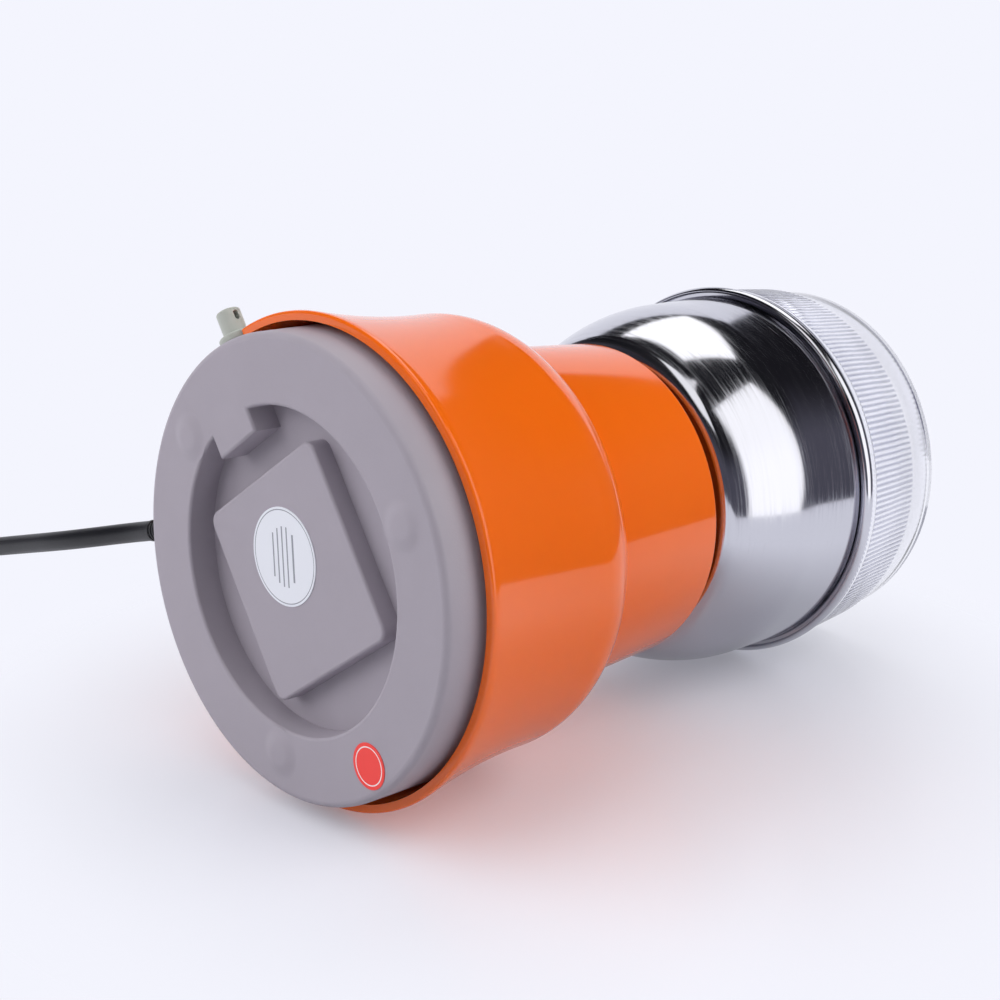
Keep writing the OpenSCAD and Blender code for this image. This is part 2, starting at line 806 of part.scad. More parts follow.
module shaft_bush() {
    color(brass)
    difference() {
        union() {
            translate([0, 0, bush_bottom_z]) cylinder(h = bowl_inner_floor_z - bush_bottom_z, r = bush_r);
            translate([0, 0, bowl_inner_floor_z]) cylinder(h = bush_flange_t, r = bush_flange_r);
        }
        translate([0, 0, bush_bottom_z - cut])
            cylinder(h = bowl_inner_floor_z + bush_flange_t - bush_bottom_z + 2 * cut, r = bush_bore_r);
    }
}

module bush_nut() {
    color(dark_steel)
    translate([0, 0, deck_z - bush_nut_t])
        difference() {
            cylinder(h = bush_nut_t, r = bush_nut_r, $fn = 6);
            translate([0, 0, -cut]) cylinder(h = bush_nut_t + 2 * cut, r = bush_r + seat_gap);
        }
}

module shaft_seal() {
    color(rubber)
    translate([0, 0, bowl_inner_floor_z + bush_flange_t])
        difference() {
            cylinder(h = seal_t, r = seal_r);
            translate([0, 0, -cut]) cylinder(h = seal_t + 2 * cut, r = shaft_r + laid_gap);
        }
}

module blade_arm() {
    translate([-cut, -blade_w / 2, 0]) cube([blade_flat_r + cut, blade_w, blade_t]);
    translate([blade_flat_r, 0, 0])
        rotate([0, -blade_bend, 0])
            linear_extrude(blade_t)
                polygon([
                    [-blade_t, -blade_w / 2],
                    [blade_r - blade_flat_r - blade_w / 2, -blade_w / 2],
                    [blade_r - blade_flat_r, blade_w / 2],
                    [-blade_t, blade_w / 2]
                ]);
}

module blade() {
    color("#b9bbc2")
    translate([0, 0, blade_z])
        difference() {
            for (turn = [0, 180])
                rotate([0, 0, turn]) blade_arm();
            translate([0, 0, -cut]) cylinder(h = blade_t + 2 * cut, r = shaft_thread_r + seat_gap);
        }
}

module blade_nut() {
    color(steel)
    translate([0, 0, blade_z + blade_t])
        difference() {
            cylinder(h = blade_nut_h, r = blade_nut_r, $fn = 6);
            translate([0, 0, -cut]) cylinder(h = blade_thread_l + laid_gap + cut, r = shaft_thread_r + seat_gap);
        }
}

module lid() {
    color("#dfe6f0", 0.5)
    turned(concat(
        [
            [spigot_r, lip_top_z - spigot_depth], [spigot_r, lid_seat_z], [lid_flange_r, lid_seat_z],
            [lid_flange_r, grip_low_z], [grip_low_r, grip_low_z], [grip_top_r, grip_top_z],
            [grip_top_r - grip_shoulder_w, grip_top_z + grip_shoulder_h]
        ],
        arc(lid_top_r - lid_edge_r, lid_top_z - lid_edge_r, lid_edge_r, 0, 90, 5),
        [
            [0, lid_top_z], [0, lid_top_z - lid_wall], [lid_top_r - lid_wall, lid_top_z - lid_wall],
            [grip_top_r - lid_wall, grip_top_z], [grip_low_r - lid_wall, grip_low_z + lid_wall],
            [spigot_r - lid_wall, lid_seat_z], [spigot_r - lid_wall, lip_top_z - spigot_depth]
        ]
    ));
}

module motor_top_bracket() {
    color(dark_steel)
    difference() {
        union() {
            translate([0, 0, bracket_z]) cylinder(h = bracket_t, r = bracket_r);
            translate([0, 0, top_hub_z]) cylinder(h = top_hub_top_z - top_hub_z, r = hub_r);
            ring_of(2, bolt_ring_r, 90)
                translate([0, 0, stack_top_z]) cylinder(h = bracket_z - stack_top_z + cut, r = pillar_r);
        }
        translate([0, 0, top_hub_z - cut]) cylinder(h = top_hub_top_z, r = top_bearing_r + seat_gap);
        ring_of(3, mount_ring_r, 0)
            translate([0, 0, bracket_z - cut]) cylinder(h = bracket_t + 2 * cut, r = hanger_screw_r + laid_gap);
        ring_of(2, bolt_ring_r, 90)
            translate([0, 0, stack_top_z - cut]) cylinder(h = bracket_top_z, r = bolt_r + laid_gap);
        ring_of(6, vent_ring_r, 30)
            translate([0, 0, bracket_z - cut]) cylinder(h = bracket_t + 2 * cut, r = vent_hole_r);
    }
}

module motor_mounts() {
    color(rubber)
    ring_of(3, mount_ring_r, 0)
        translate([0, 0, bracket_top_z])
            difference() {
                cylinder(h = hanger_rubber_h, r = hanger_r);
                translate([0, 0, -cut])
                    cylinder(h = hanger_rubber_h + 2 * cut, r = hanger_screw_r + laid_gap);
            }
}

module mount_screws() {
    color(steel)
    ring_of(3, mount_ring_r, 0) {
        translate([0, 0, bracket_z - hanger_head_t]) cylinder(h = hanger_head_t, r = hanger_head_r);
        translate([0, 0, bracket_z]) cylinder(h = deck_z - bracket_z + deck_t / 4, r = hanger_screw_r);
    }
}

// A plain bush that a shaft turns in
module plain_bearing(z, height, radius) {
    color(brass)
    translate([0, 0, z])
        difference() {
            cylinder(h = height, r = radius);
            translate([0, 0, -cut]) cylinder(h = height + 2 * cut, r = shaft_r + running_gap);
        }
}

module top_bearing() {
    plain_bearing(top_hub_z, top_hub_top_z - top_hub_z, top_bearing_r);
}

module bottom_bearing() {
    plain_bearing(bottom_bearing_z, bottom_bearing_h, bottom_bearing_r);
}

module motor_bottom_bracket() {
    color(dark_steel)
    difference() {
        union() {
            translate([0, 0, bottom_plate_z]) cylinder(h = bottom_plate_t, r = bottom_plate_r);
            ring_of(2, bolt_ring_r, 90)
                translate([0, 0, bottom_plate_z]) cylinder(h = stack_z - bottom_plate_z, r = pillar_r);
        }
        translate([0, 0, bottom_plate_z - cut])
            cylinder(h = bottom_plate_t + 2 * cut, r = bottom_bearing_r + seat_gap);
        ring_of(2, bolt_ring_r, 90)
            translate([0, 0, bottom_plate_z - cut]) cylinder(h = stack_z, r = bolt_r + laid_gap);
        ring_of(4, vent_ring_r, 45)
            translate([0, 0, bottom_plate_z - cut]) cylinder(h = bottom_plate_t + 2 * cut, r = vent_hole_r);
    }
}

module motor_bolts() {
    color(steel)
    ring_of(2, bolt_ring_r, 90) {
        translate([0, 0, bottom_plate_z - bolt_head_t]) cylinder(h = bolt_head_t, r = bolt_head_r);
        translate([0, 0, bottom_plate_z]) cylinder(h = bracket_top_z - bottom_plate_z, r = bolt_r);
        translate([0, 0, bracket_top_z]) cylinder(h = bolt_head_t, r = bolt_head_r, $fn = 6);
    }
}

// A sector of a ring, between two angles
module ring_sector(inner, outer, height, from, to) {
    rotate([0, 0, from])
        rotate_extrude(angle = to - from)
            translate([inner, 0]) square([outer - inner, height]);
}

module stator_core() {
    color("#70747b")
    translate([0, 0, stack_z])
        difference() {
            cylinder(h = stack_h, d = stator_d);
            translate([0, 0, -cut]) cylinder(h = stack_h + 2 * cut, r = stator_bore_r);
            for (turn = [0, 180])
                rotate([0, 0, turn])
                    translate([0, 0, -cut])
                        ring_sector(stator_bore_r - cut, coil_outer_r + winding_gap, stack_h + 2 * cut,
                            -window_half_angle, window_half_angle);
            ring_of(2, bolt_ring_r, 90)
                translate([0, 0, -cut]) cylinder(h = stack_h + 2 * cut, r = bolt_r + laid_gap);
        }
}

module field_coils() {
    color(copper)
    for (turn = [0, 180])
        rotate([0, 0, turn])
            difference() {
                translate([0, 0, stack_z - winding_h])
                    ring_sector(coil_in_r, coil_outer_r, stack_h + 2 * winding_h,
                        coil_start_angle, 180 - coil_start_angle);
                translate([0, 0, stack_z - winding_gap])
                    ring_sector(coil_in_r - cut, coil_outer_r + cut, stack_h + 2 * winding_gap,
                        coil_half_angle, 180 - coil_half_angle);
            }
}

module motor_shaft() {
    color(steel) {
        translate([0, 0, shaft_bottom_z]) cylinder(h = blade_z - shaft_bottom_z, r = shaft_r);
        translate([0, 0, blade_z - shaft_collar_t]) cylinder(h = shaft_collar_t, r = shaft_collar_r);
        translate([0, 0, blade_z]) cylinder(h = shaft_top_z - blade_z, r = shaft_thread_r);
    }
}

// Bore by which a piece is pressed on the shaft
module shaft_bore(from, to) {
    translate([0, 0, from - cut]) cylinder(h = to - from + 2 * cut, r = shaft_r + seat_gap);
}

module rotor_core() {
    color("#5f6269")
    difference() {
        translate([0, 0, stack_z]) cylinder(h = stack_h, r = rotor_r);
        shaft_bore(stack_z, stack_top_z);
        ring_of(rotor_slots, rotor_r - rotor_slot_depth, 0)
            translate([0, -rotor_slot_w / 2, stack_z - cut])
                cube([rotor_slot_depth + cut, rotor_slot_w, stack_h + 2 * cut]);
    }
}

module rotor_windings() {
    color(copper)
    for (z = [stack_z - winding_h, stack_top_z])
        translate([0, 0, z])
            difference() {
                cylinder(h = winding_h, r = rotor_winding_r);
                translate([0, 0, -cut]) cylinder(h = winding_h + 2 * cut, r = shaft_r + seat_gap);
            }
}

module commutator() {
    color("#c07a45")
    difference() {
        translate([0, 0, commutator_z]) cylinder(h = commutator_h, r = commutator_r);
        shaft_bore(commutator_z, commutator_z + commutator_h);
    }
}

module cooling_fan() {
    color("#d8d8d2")
    difference() {
        union() {
            translate([0, 0, fan_z]) cylinder(h = fan_h, r = fan_hub_r);
            translate([0, 0, fan_z + fan_h - fan_disc_t]) cylinder(h = fan_disc_t, r = fan_r);
            ring_of(fan_blades, fan_hub_r - cut, 0)
                translate([0, -fan_blade_t / 2, fan_z])
                    cube([fan_r - fan_hub_r, fan_blade_t, fan_h - fan_disc_t / 2]);
        }
        shaft_bore(fan_z, fan_z + fan_h);
    }
}

module brush_holders() {
    color("#6b4a35")
    ring_of(2, holder_in, 0)
        difference() {
            translate([0, -brush_w / 2 - holder_wall, bottom_plate_top_z])
                cube([holder_l, brush_w + 2 * holder_wall, brush_z + brush_h + holder_wall - bottom_plate_top_z]);
            translate([-cut, -brush_w / 2 - laid_gap, brush_z - laid_gap])
                cube([holder_l - holder_end_t + cut, brush_w + 2 * laid_gap, brush_h + 2 * laid_gap]);
        }
}

module carbon_brushes() {
    color("#333336")
    ring_of(2, brush_in, 0)
        translate([0, -brush_w / 2, brush_z])
            cube([brush_l, brush_w, brush_h]);
}

module brush_springs() {
    color(steel)
    ring_of(2, brush_in + brush_l, 0)
        translate([0, 0, brush_z + brush_h / 2])
            rotate([0, 90, 0])
                difference() {
                    cylinder(h = brush_spring_l, r = brush_spring_r);
                    translate([0, 0, -cut])
                        cylinder(h = brush_spring_l + 2 * cut, r = brush_spring_r - spring_wire);
                }
}

module cord_gland() {
    color(black)
    on_cord_line() {
        cord_rod(gland_in_x, gland_flange_x, gland_sleeve_r, gland_sleeve_r);
        cord_rod(gland_flange_x, gland_flange_x + gland_flange_t, gland_flange_r, gland_flange_r);
        cord_rod(gland_flange_x + gland_flange_t, gland_taper_x, gland_r, gland_r);
        cord_rod(gland_taper_x, gland_tip_x, gland_r, gland_tip_r);
    }
}

module cord_clamp() {
    color(white)
    on_cord_line()
        difference() {
            translate([clamp_x - clamp_l / 2, cord_offset - clamp_span - clamp_over, clamp_seat_z])
                cube([clamp_l, 2 * (clamp_span + clamp_over), clamp_top_z - clamp_seat_z]);
            cord_rod(gland_in_x, gland_flange_x, gland_sleeve_r + seat_gap, gland_sleeve_r + seat_gap);
            for (side = [-1, 1])
                translate([clamp_x, cord_offset + side * clamp_span, clamp_seat_z - cut])
                    cylinder(h = clamp_top_z - clamp_seat_z + 2 * cut, r = clamp_screw_r + laid_gap);
        }
}

module clamp_screws() {
    color(steel)
    on_cord_line()
        for (side = [-1, 1])
            translate([clamp_x, cord_offset + side * clamp_span, 0]) {
                translate([0, 0, clamp_seat_z - clamp_screw_deep])
                    cylinder(h = clamp_top_z - clamp_seat_z + clamp_screw_deep, r = clamp_screw_r);
                translate([0, 0, clamp_top_z]) cylinder(h = clamp_head_t, r = clamp_head_r);
            }
}

module cord_run() {
    color(black)
    on_cord_line()
        swept_tube([for (p = cord_route) [p[0], cord_offset, p[1]]], cord_r, 10);
}

// Radius and height of the coil's cord after a number of turns
function coil_radius(t) =
    coil_out_r - coil_pitch * (t < coil_inward_turns ? t : 2 * coil_inward_turns - t);
function coil_height(t) =
    let (s = min(max((t - coil_inward_turns + climb_half) / (2 * climb_half), 0), 1))
    coil_low_z + coil_pitch * s * s * (3 - 2 * s);
function coil_point(t) = [
    coil_x + coil_radius(t) * sin(360 * t),
    coil_y - coil_side * coil_radius(t) * cos(360 * t),
    coil_height(t)
];
coil_end = coil_point(coil_turns) + [0, coil_side * cord_d, 0];
coil_path = concat(
    [coil_point(0) - [cord_d, 0, 0]],
    [for (i = [0:coil_rings * coil_turns]) coil_point(i / coil_rings)],
    [coil_end]
);
// Least gap between turns of the coil, over points more than half a turn apart
coil_least_gap = min([
    for (i = [0:len(coil_path) - 1])
        for (j = [i + coil_rings / 2:1:len(coil_path) - 1])
            norm(coil_path[i] - coil_path[j])
]) - cord_d;
echo(coil_least_gap = coil_least_gap);

module cord_coil() {
    color(black)
    on_cord_line() swept_tube(coil_path, cord_r, 6);
}

module cord_tail() {
    color(black)
    on_cord_line()
        swept_tube([for (p = tail_route) coil_end + [0, coil_side * p[0], -p[1]]], cord_r, 10);
}

// Half height of the bundle of turns that the tie goes round
bundle_half = coil_pitch / 2 + cord_r + tie_gap;

module cord_tie() {
    bundle_r = coil_out_r - coil_pitch * coil_inward_turns / 2;
    color("#1d1d20")
    on_cord_line()
        translate([coil_x - tie_w / 2, coil_y + coil_side * bundle_r, coil_low_z + coil_pitch / 2])
            rotate([90, 0, 90])
                linear_extrude(tie_w)
                    difference() {
                        round_square(2 * (bundle_half + tie_t) * [1, 1], cord_r + tie_t);
                        round_square(2 * bundle_half * [1, 1], cord_r);
                    }
}

// The plug's own frame: origin where the cord enters it, +Y towards the pins
module at_plug() {
    on_cord_line()
        translate(coil_end + [0, coil_side * tail_route[len(tail_route) - 1][0], -tail_drop])
            rotate([0, 0, coil_side < 0 ? 180 : 0])
                children();
}

module plug_body() {
    color(black)
    at_plug() {
        rotate([-90, 0, 0])
            cylinder(h = plug_boot_l, r1 = plug_boot_tip_r, r2 = plug_boot_r);
        translate([0, plug_boot_l, 0])
            hull()
                for (y = [plug_corner_r, plug_l - plug_corner_r], side = [-1, 1])
                    translate([side * (plug_w / 2 - plug_corner_r), y, -plug_t / 2])
                        cylinder(h = plug_t, r = plug_corner_r, $fn = 32);
    }
}

module plug_pins() {
    color(steel)
    at_plug()
        for (side = [-1, 1])
            translate([side * pin_pitch / 2, plug_boot_l + plug_l, 0])
                rotate([-90, 0, 0]) {
                    cylinder(h = pin_l - pin_tip_h, r = pin_r);
                    translate([0, 0, pin_l - pin_tip_h]) cylinder(h = pin_tip_h, r1 = pin_r, r2 = pin_r / 2);
                }
}

base_cover();
foot_pads();
base_screws();
rating_label();
inspection_sticker();
housing_shell();
button_guide();
button_plunger();
button_spring();
switch_body();
switch_plunger();
grinding_bowl();
bowl_gasket();
shaft_bush();
bush_nut();
shaft_seal();
blade();
blade_nut();
lid();
motor_top_bracket();
motor_mounts();
mount_screws();
top_bearing();
bottom_bearing();
motor_bottom_bracket();
motor_bolts();
stator_core();
field_coils();
motor_shaft();
rotor_core();
rotor_windings();
commutator();
cooling_fan();
brush_holders();
carbon_brushes();
brush_springs();
cord_gland();
cord_clamp();
clamp_screws();
cord_run();
cord_coil();
cord_tail();
cord_tie();
plug_body();
plug_pins();
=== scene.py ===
"""Looks of an electric blade coffee grinder: finishes, fine shapes, cord, light and camera.

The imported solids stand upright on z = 0. The photograph shows the grinder lying on its side, so the camera and the
photograph's floor are turned round the upright part instead. Sizes in the classes are millimetres.
"""
import logging
import math
from dataclasses import dataclass, field
from enum import Enum
from typing import Any

import bmesh
import bpy
from mathutils import Matrix, Vector


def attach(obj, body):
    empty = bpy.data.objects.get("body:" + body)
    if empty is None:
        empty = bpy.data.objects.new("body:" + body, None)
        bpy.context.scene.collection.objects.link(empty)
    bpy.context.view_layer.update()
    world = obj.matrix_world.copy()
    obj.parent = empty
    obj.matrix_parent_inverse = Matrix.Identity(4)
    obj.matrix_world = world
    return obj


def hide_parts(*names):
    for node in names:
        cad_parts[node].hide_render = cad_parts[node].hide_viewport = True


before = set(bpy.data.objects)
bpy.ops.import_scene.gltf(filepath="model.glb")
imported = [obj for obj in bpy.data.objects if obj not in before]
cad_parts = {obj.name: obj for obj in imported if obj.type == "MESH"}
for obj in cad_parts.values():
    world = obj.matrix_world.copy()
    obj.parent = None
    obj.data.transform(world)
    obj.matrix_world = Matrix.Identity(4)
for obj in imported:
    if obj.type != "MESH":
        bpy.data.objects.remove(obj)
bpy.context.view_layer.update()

MM = 0.001
LOG = logging.getLogger("coffee_grinder")
# Angle in degrees above which an edge stays sharp.
CREASE = 32.0
# Part of a noise texture's range that carries its patches, and how much the roughness follows them.
PATCH_RANGE = (0.3, 0.7)
GLOSS_DRIFT = 0.12

Profile = list[tuple[float, float]]
Point = tuple[float, float, float]


class Body(Enum):
    """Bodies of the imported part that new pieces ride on."""

    HOUSING = "housing"
    BUTTON = "button"
    LID = "lid"


class Slot(Enum):
    """Material slots of the record; new pieces name one, but take their finish from a Finish."""

    BASE = "base_plastic"
    SHELL = "orange_shell"
    BOWL = "bowl_steel"
    LID = "lid_clear"
    BUTTON = "button_plastic"
    CORD = "cord_black"


def linear(colour: str) -> tuple[float, float, float, float]:
    """Turn an sRGB hex colour into linear light.

    Args:
        colour: six hex digits after a number sign.

    Returns:
        Red, green, blue and an alpha of 1.
    """
    channels = [int(colour[i : i + 2], 16) / 255 for i in (1, 3, 5)]
    red, green, blue = [c / 12.92 if c <= 0.04045 else ((c + 0.055) / 1.055) ** 2.4 for c in channels]
    return red, green, blue, 1.0


def add_node(
    tree: bpy.types.NodeTree, kind: str, inputs: dict[str | int, Any] | None = None, **settings: Any
) -> bpy.types.Node:
    """Add a shader node with its settings, values and links.

    Args:
        tree: node tree that gets the node.
        kind: Blender's name of the node type.
        inputs: for each input, a value or the output socket that feeds it.
        settings: properties of the node itself.

    Returns:
        The new node.
    """
    node = tree.nodes.new(kind)
    for name, value in settings.items():
        setattr(node, name, value)
    for name, value in (inputs or {}).items():
        if isinstance(value, bpy.types.NodeSocket):
            tree.links.new(value, node.inputs[name])
        else:
            node.inputs[name].default_value = value
    return node


def calc(tree: bpy.types.NodeTree, operation: str, *values: Any) -> bpy.types.NodeSocket:
    """Add a math node that works on numbers or sockets, and give its result."""
    return add_node(tree, "ShaderNodeMath", dict(enumerate(values)), operation=operation).outputs["Value"]


def measure(tree: bpy.types.NodeTree, operation: str, *vectors: Any) -> bpy.types.NodeSocket:
    """Add a vector math node that makes a number of vectors or sockets, and give its result."""
    return add_node(tree, "ShaderNodeVectorMath", dict(enumerate(vectors)), operation=operation).outputs["Value"]


def remap(
    tree: bpy.types.NodeTree,
    value: bpy.types.NodeSocket,
    start: float,
    stop: float,
    low: float = 0.0,
    high: float = 1.0,
    smooth: bool = False,
) -> bpy.types.NodeSocket:
    """Add a node that maps one range of a value to another.

    Args:
        tree: node tree that gets the node.
        value: the value.
        start: value that gives the low end.
        stop: value that gives the high end.
        low: result at the start.
        high: result at the stop.
        smooth: whether the result eases in and out.

    Returns:
        Its result.
    """
    kind = "SMOOTHSTEP" if smooth else "LINEAR"
    inputs = {"Value": value, 1: start, 2: stop, 3: low, 4: high}
    return add_node(tree, "ShaderNodeMapRange", inputs, interpolation_type=kind).outputs["Result"]


def mix_colours(
    tree: bpy.types.NodeTree, factor: bpy.types.NodeSocket, first: Any, second: Any
) -> bpy.types.NodeSocket:
    """Add a node that mixes two colours, sRGB hex or sockets, by the share of the second, and give its result."""
    one, two = [linear(colour) if isinstance(colour, str) else colour for colour in (first, second)]
    return add_node(tree, "ShaderNodeMix", {"Factor": factor, 6: one, 7: two}, data_type="RGBA").outputs[2]


def mix_shaders(
    tree: bpy.types.NodeTree,
    factor: bpy.types.NodeSocket,
    first: bpy.types.NodeSocket,
    second: bpy.types.NodeSocket,
) -> bpy.types.NodeSocket:
    """Add a node that mixes two shaders by the share of the second, and give its result."""
    return add_node(tree, "ShaderNodeMixShader", {0: factor, 1: first, 2: second}).outputs["Shader"]


def arc(centre: tuple[float, float], radius: float, start: float, stop: float, steps: int) -> Profile:
    """Give the points of an arc in a profile.

    Args:
        centre: radius and height of the arc's centre.
        radius: radius of the arc.
        start: first angle in degrees, 0 outwards and 90 up.
        stop: last angle in degrees.
        steps: number of chords.

    Returns:
        The points from the first angle to the last.
    """
    angles = [math.radians(start + (stop - start) * i / steps) for i in range(steps + 1)]
    return [(centre[0] + radius * math.cos(a), centre[1] + radius * math.sin(a)) for a in angles]


def turned(profile: Profile, steps: int = 160, rounds: dict[int, float] | None = None) -> bmesh.types.BMesh:
    """Spin a closed profile about the Z axis.

    Args:
        profile: radius and height of each corner.
        steps: number of steps in the full turn.
        rounds: rounding of single corners, by their place in the profile.

    Returns:
        The closed solid of revolution, in metres.
    """
    bm = bmesh.new()
    verts = [bm.verts.new((r * MM, 0.0, z * MM)) for r, z in profile]
    for a, b in zip(verts, verts[1:] + verts[:1]):
        bm.edges.new((a, b))
    for index, radius in (rounds or {}).items():
        bmesh.ops.bevel(
            bm, geom=[verts[index]], offset=radius * MM, segments=5, profile=0.5, affect="VERTICES", material=-1
        )
    bmesh.ops.spin(
        bm,
        geom=bm.verts[:] + bm.edges[:],
        cent=(0, 0, 0),
        axis=(0, 0, 1),
        angle=2 * math.pi,
        steps=steps,
        use_merge=True,
    )
    bmesh.ops.remove_doubles(bm, verts=bm.verts[:], dist=1e-6)
    bmesh.ops.recalc_face_normals(bm, faces=bm.faces[:])
    return bm


def finished(bm: bmesh.types.BMesh, name: str, crease: float = CREASE) -> bpy.types.Object:
    """Turn a bmesh into a smooth-shaded object at the origin.

    Args:
        bm: the shape, freed here.
        name: name of the piece.
        crease: angle in degrees above which an edge stays sharp.

    Returns:
        The object, linked to the scene.
    """
    mesh = bpy.data.meshes.new(name)
    bm.to_mesh(mesh)
    bm.free()
    mesh.shade_smooth()
    mesh.set_sharp_from_angle(angle=math.radians(crease))
    piece = bpy.data.objects.new(name, mesh)
    bpy.context.scene.collection.objects.link(piece)
    return piece


def carved(piece: bpy.types.Object, cutters: list[bpy.types.Object]) -> None:
    """Cut other shapes out of a piece and remove them.

    Args:
        piece: the piece that is cut.
        cutters: closed shapes to take away.
    """
    for cutter in cutters:
        cut = piece.modifiers.new(cutter.name, "BOOLEAN")
        cut.object = cutter
        cut.operation = "DIFFERENCE"
        cut.solver = "EXACT"
    graph = bpy.context.evaluated_depsgraph_get()
    mesh = bpy.data.meshes.new_from_object(piece.evaluated_get(graph))
    piece.modifiers.clear()
    piece.data = mesh
    mesh.shade_smooth()
    mesh.set_sharp_from_angle(angle=math.radians(CREASE))
    for cutter in cutters:
        bpy.data.objects.remove(cutter)


def rod(start: Point, end: Point, radius: float) -> bpy.types.Object:
    """Make a plain round bar between two points, for cutting.

    Args:
        start: centre of the first end.
        end: centre of the other end.
        radius: radius of the bar.

    Returns:
        The bar.
    """
    a, b = Vector(start) * MM, Vector(end) * MM
    bm = bmesh.new()
    bmesh.ops.create_cone(
        bm, cap_ends=True, segments=48, radius1=radius * MM, radius2=radius * MM, depth=(b - a).length
    )
    turn = Vector((0, 0, 1)).rotation_difference(b - a).to_matrix().to_4x4()
    bmesh.ops.transform(bm, matrix=Matrix.Translation((a + b) / 2) @ turn, verts=bm.verts[:])
    return finished(bm, "cutter")


def dress(piece: bpy.types.Object, body: Body, slot: Slot, finish: "Finish", *nodes: str) -> bpy.types.Object:
    """Give a new piece its finish, its body and the solids that it stands for.

    Args:
        piece: the new piece.
        body: body that it rides on.
        slot: material slot of the record; not used.
        finish: finish of its surface.
        nodes: CAD nodes that it replaces.

    Returns:
        The same piece.
    """
    piece.data.materials.clear()
    piece.data.materials.append(finish.material())
    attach(piece, body.value)
    if nodes:
        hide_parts(*nodes)
    LOG.info("%s rides on %s", piece.name, body.value)
    return piece


def redress(finish: "Finish", *nodes: str) -> None:
    """Give CAD nodes that stay in view a finish.

    Args:
        finish: finish of their surface.
        nodes: names of the nodes.
    """
    for name in nodes:
        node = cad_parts[name]
        node.data.materials.clear()
        node.data.materials.append(finish.material())
        LOG.info("%s keeps its solid", name)


@dataclass(frozen=True)
class Finish:
    """A finish with one colour that drifts a little over the surface, and a fine relief.

    Attributes:
        name: the material's common name and how it was made.
        colour: sRGB colour.
        roughness: roughness of the surface.
        metallic: 1 for bare metal.
        drift: how much the colour's value changes across the piece.
        drift_mm: size of those patches.
        grain_mm: width of the relief's grains.
        grain_depth_mm: height of the relief.
        sockets: other constant values of the shader.
    """

    name: str
    colour: str
    roughness: float = 0.5
    metallic: float = 0.0
    drift: float = 0.06
    drift_mm: float = 12.0
    grain_mm: float = 0.6
    grain_depth_mm: float = 0.01
    sockets: dict[str, Any] = field(default_factory=dict, hash=False, compare=False)

    def material(self) -> bpy.types.Material:
        """Make the material once, and give the same one afterwards."""
        known = bpy.data.materials.get(self.name)
        if known:
            return known
        made = bpy.data.materials.new(self.name)
        made.use_nodes = True
        tree = made.node_tree
        shader = tree.nodes["Principled BSDF"]
        shader.inputs["Base Color"].default_value = linear(self.colour)
        shader.inputs["Roughness"].default_value = self.roughness
        shader.inputs["Metallic"].default_value = self.metallic
        for name, value in self.sockets.items():
            shader.inputs[name].default_value = value
        self.surface(tree, shader)
        return made

    def surface(self, tree: bpy.types.NodeTree, shader: bpy.types.Node) -> None:
        """Add the pattern of the surface.

        Args:
            tree: the material's nodes.
            shader: its Principled shader.
        """
        place = add_node(tree, "ShaderNodeTexCoord").outputs["Object"]
        self.drifting(tree, shader, place)
        self.grained(tree, shader, place)

    def drifting(self, tree: bpy.types.NodeTree, shader: bpy.types.Node, place: bpy.types.NodeSocket) -> None:
        """Let the colour and the roughness drift in soft patches.

        Args:
            tree: the material's nodes.
            shader: its Principled shader.
            place: coordinates in metres.
        """
        patches = add_node(
            tree,
            "ShaderNodeTexNoise",
            {"Vector": place, "Scale": 1 / (self.drift_mm * MM), "Detail": 4.0, "Roughness": 0.6},
        ).outputs["Fac"]
        tint = remap(tree, patches, *PATCH_RANGE, 1 - self.drift, 1 + self.drift)
        colour = add_node(tree, "ShaderNodeHueSaturation", {"Value": tint, "Color": linear(self.colour)})
        tree.links.new(colour.outputs["Color"], shader.inputs["Base Color"])
        dull = min(1.0, self.roughness * (1 + GLOSS_DRIFT))
        gloss = remap(tree, patches, *PATCH_RANGE, self.roughness * (1 - GLOSS_DRIFT), dull)
        tree.links.new(gloss, shader.inputs["Roughness"])

    def grained(self, tree: bpy.types.NodeTree, shader: bpy.types.Node, place: bpy.types.NodeSocket) -> None:
        """Raise a fine grain on the surface.

        Args:
            tree: the material's nodes.
            shader: its Principled shader.
            place: coordinates in metres.
        """
        grain = add_node(
            tree, "ShaderNodeTexNoise", {"Vector": place, "Scale": 1 / (self.grain_mm * MM), "Detail": 2.0}
        )
        self.raised(tree, shader, grain.outputs["Fac"])

    def raised(self, tree: bpy.types.NodeTree, shader: bpy.types.Node, height: bpy.types.NodeSocket) -> None:
        """Turn a pattern into relief.

        Args:
            tree: the material's nodes.
            shader: its Principled shader.
            height: the pattern, from 0 to 1.
        """
        depth = self.grain_depth_mm * MM
        relief = add_node(tree, "ShaderNodeBump", {"Strength": 1.0, "Distance": depth, "Height": height})
        tree.links.new(relief.outputs["Normal"], shader.inputs["Normal"])


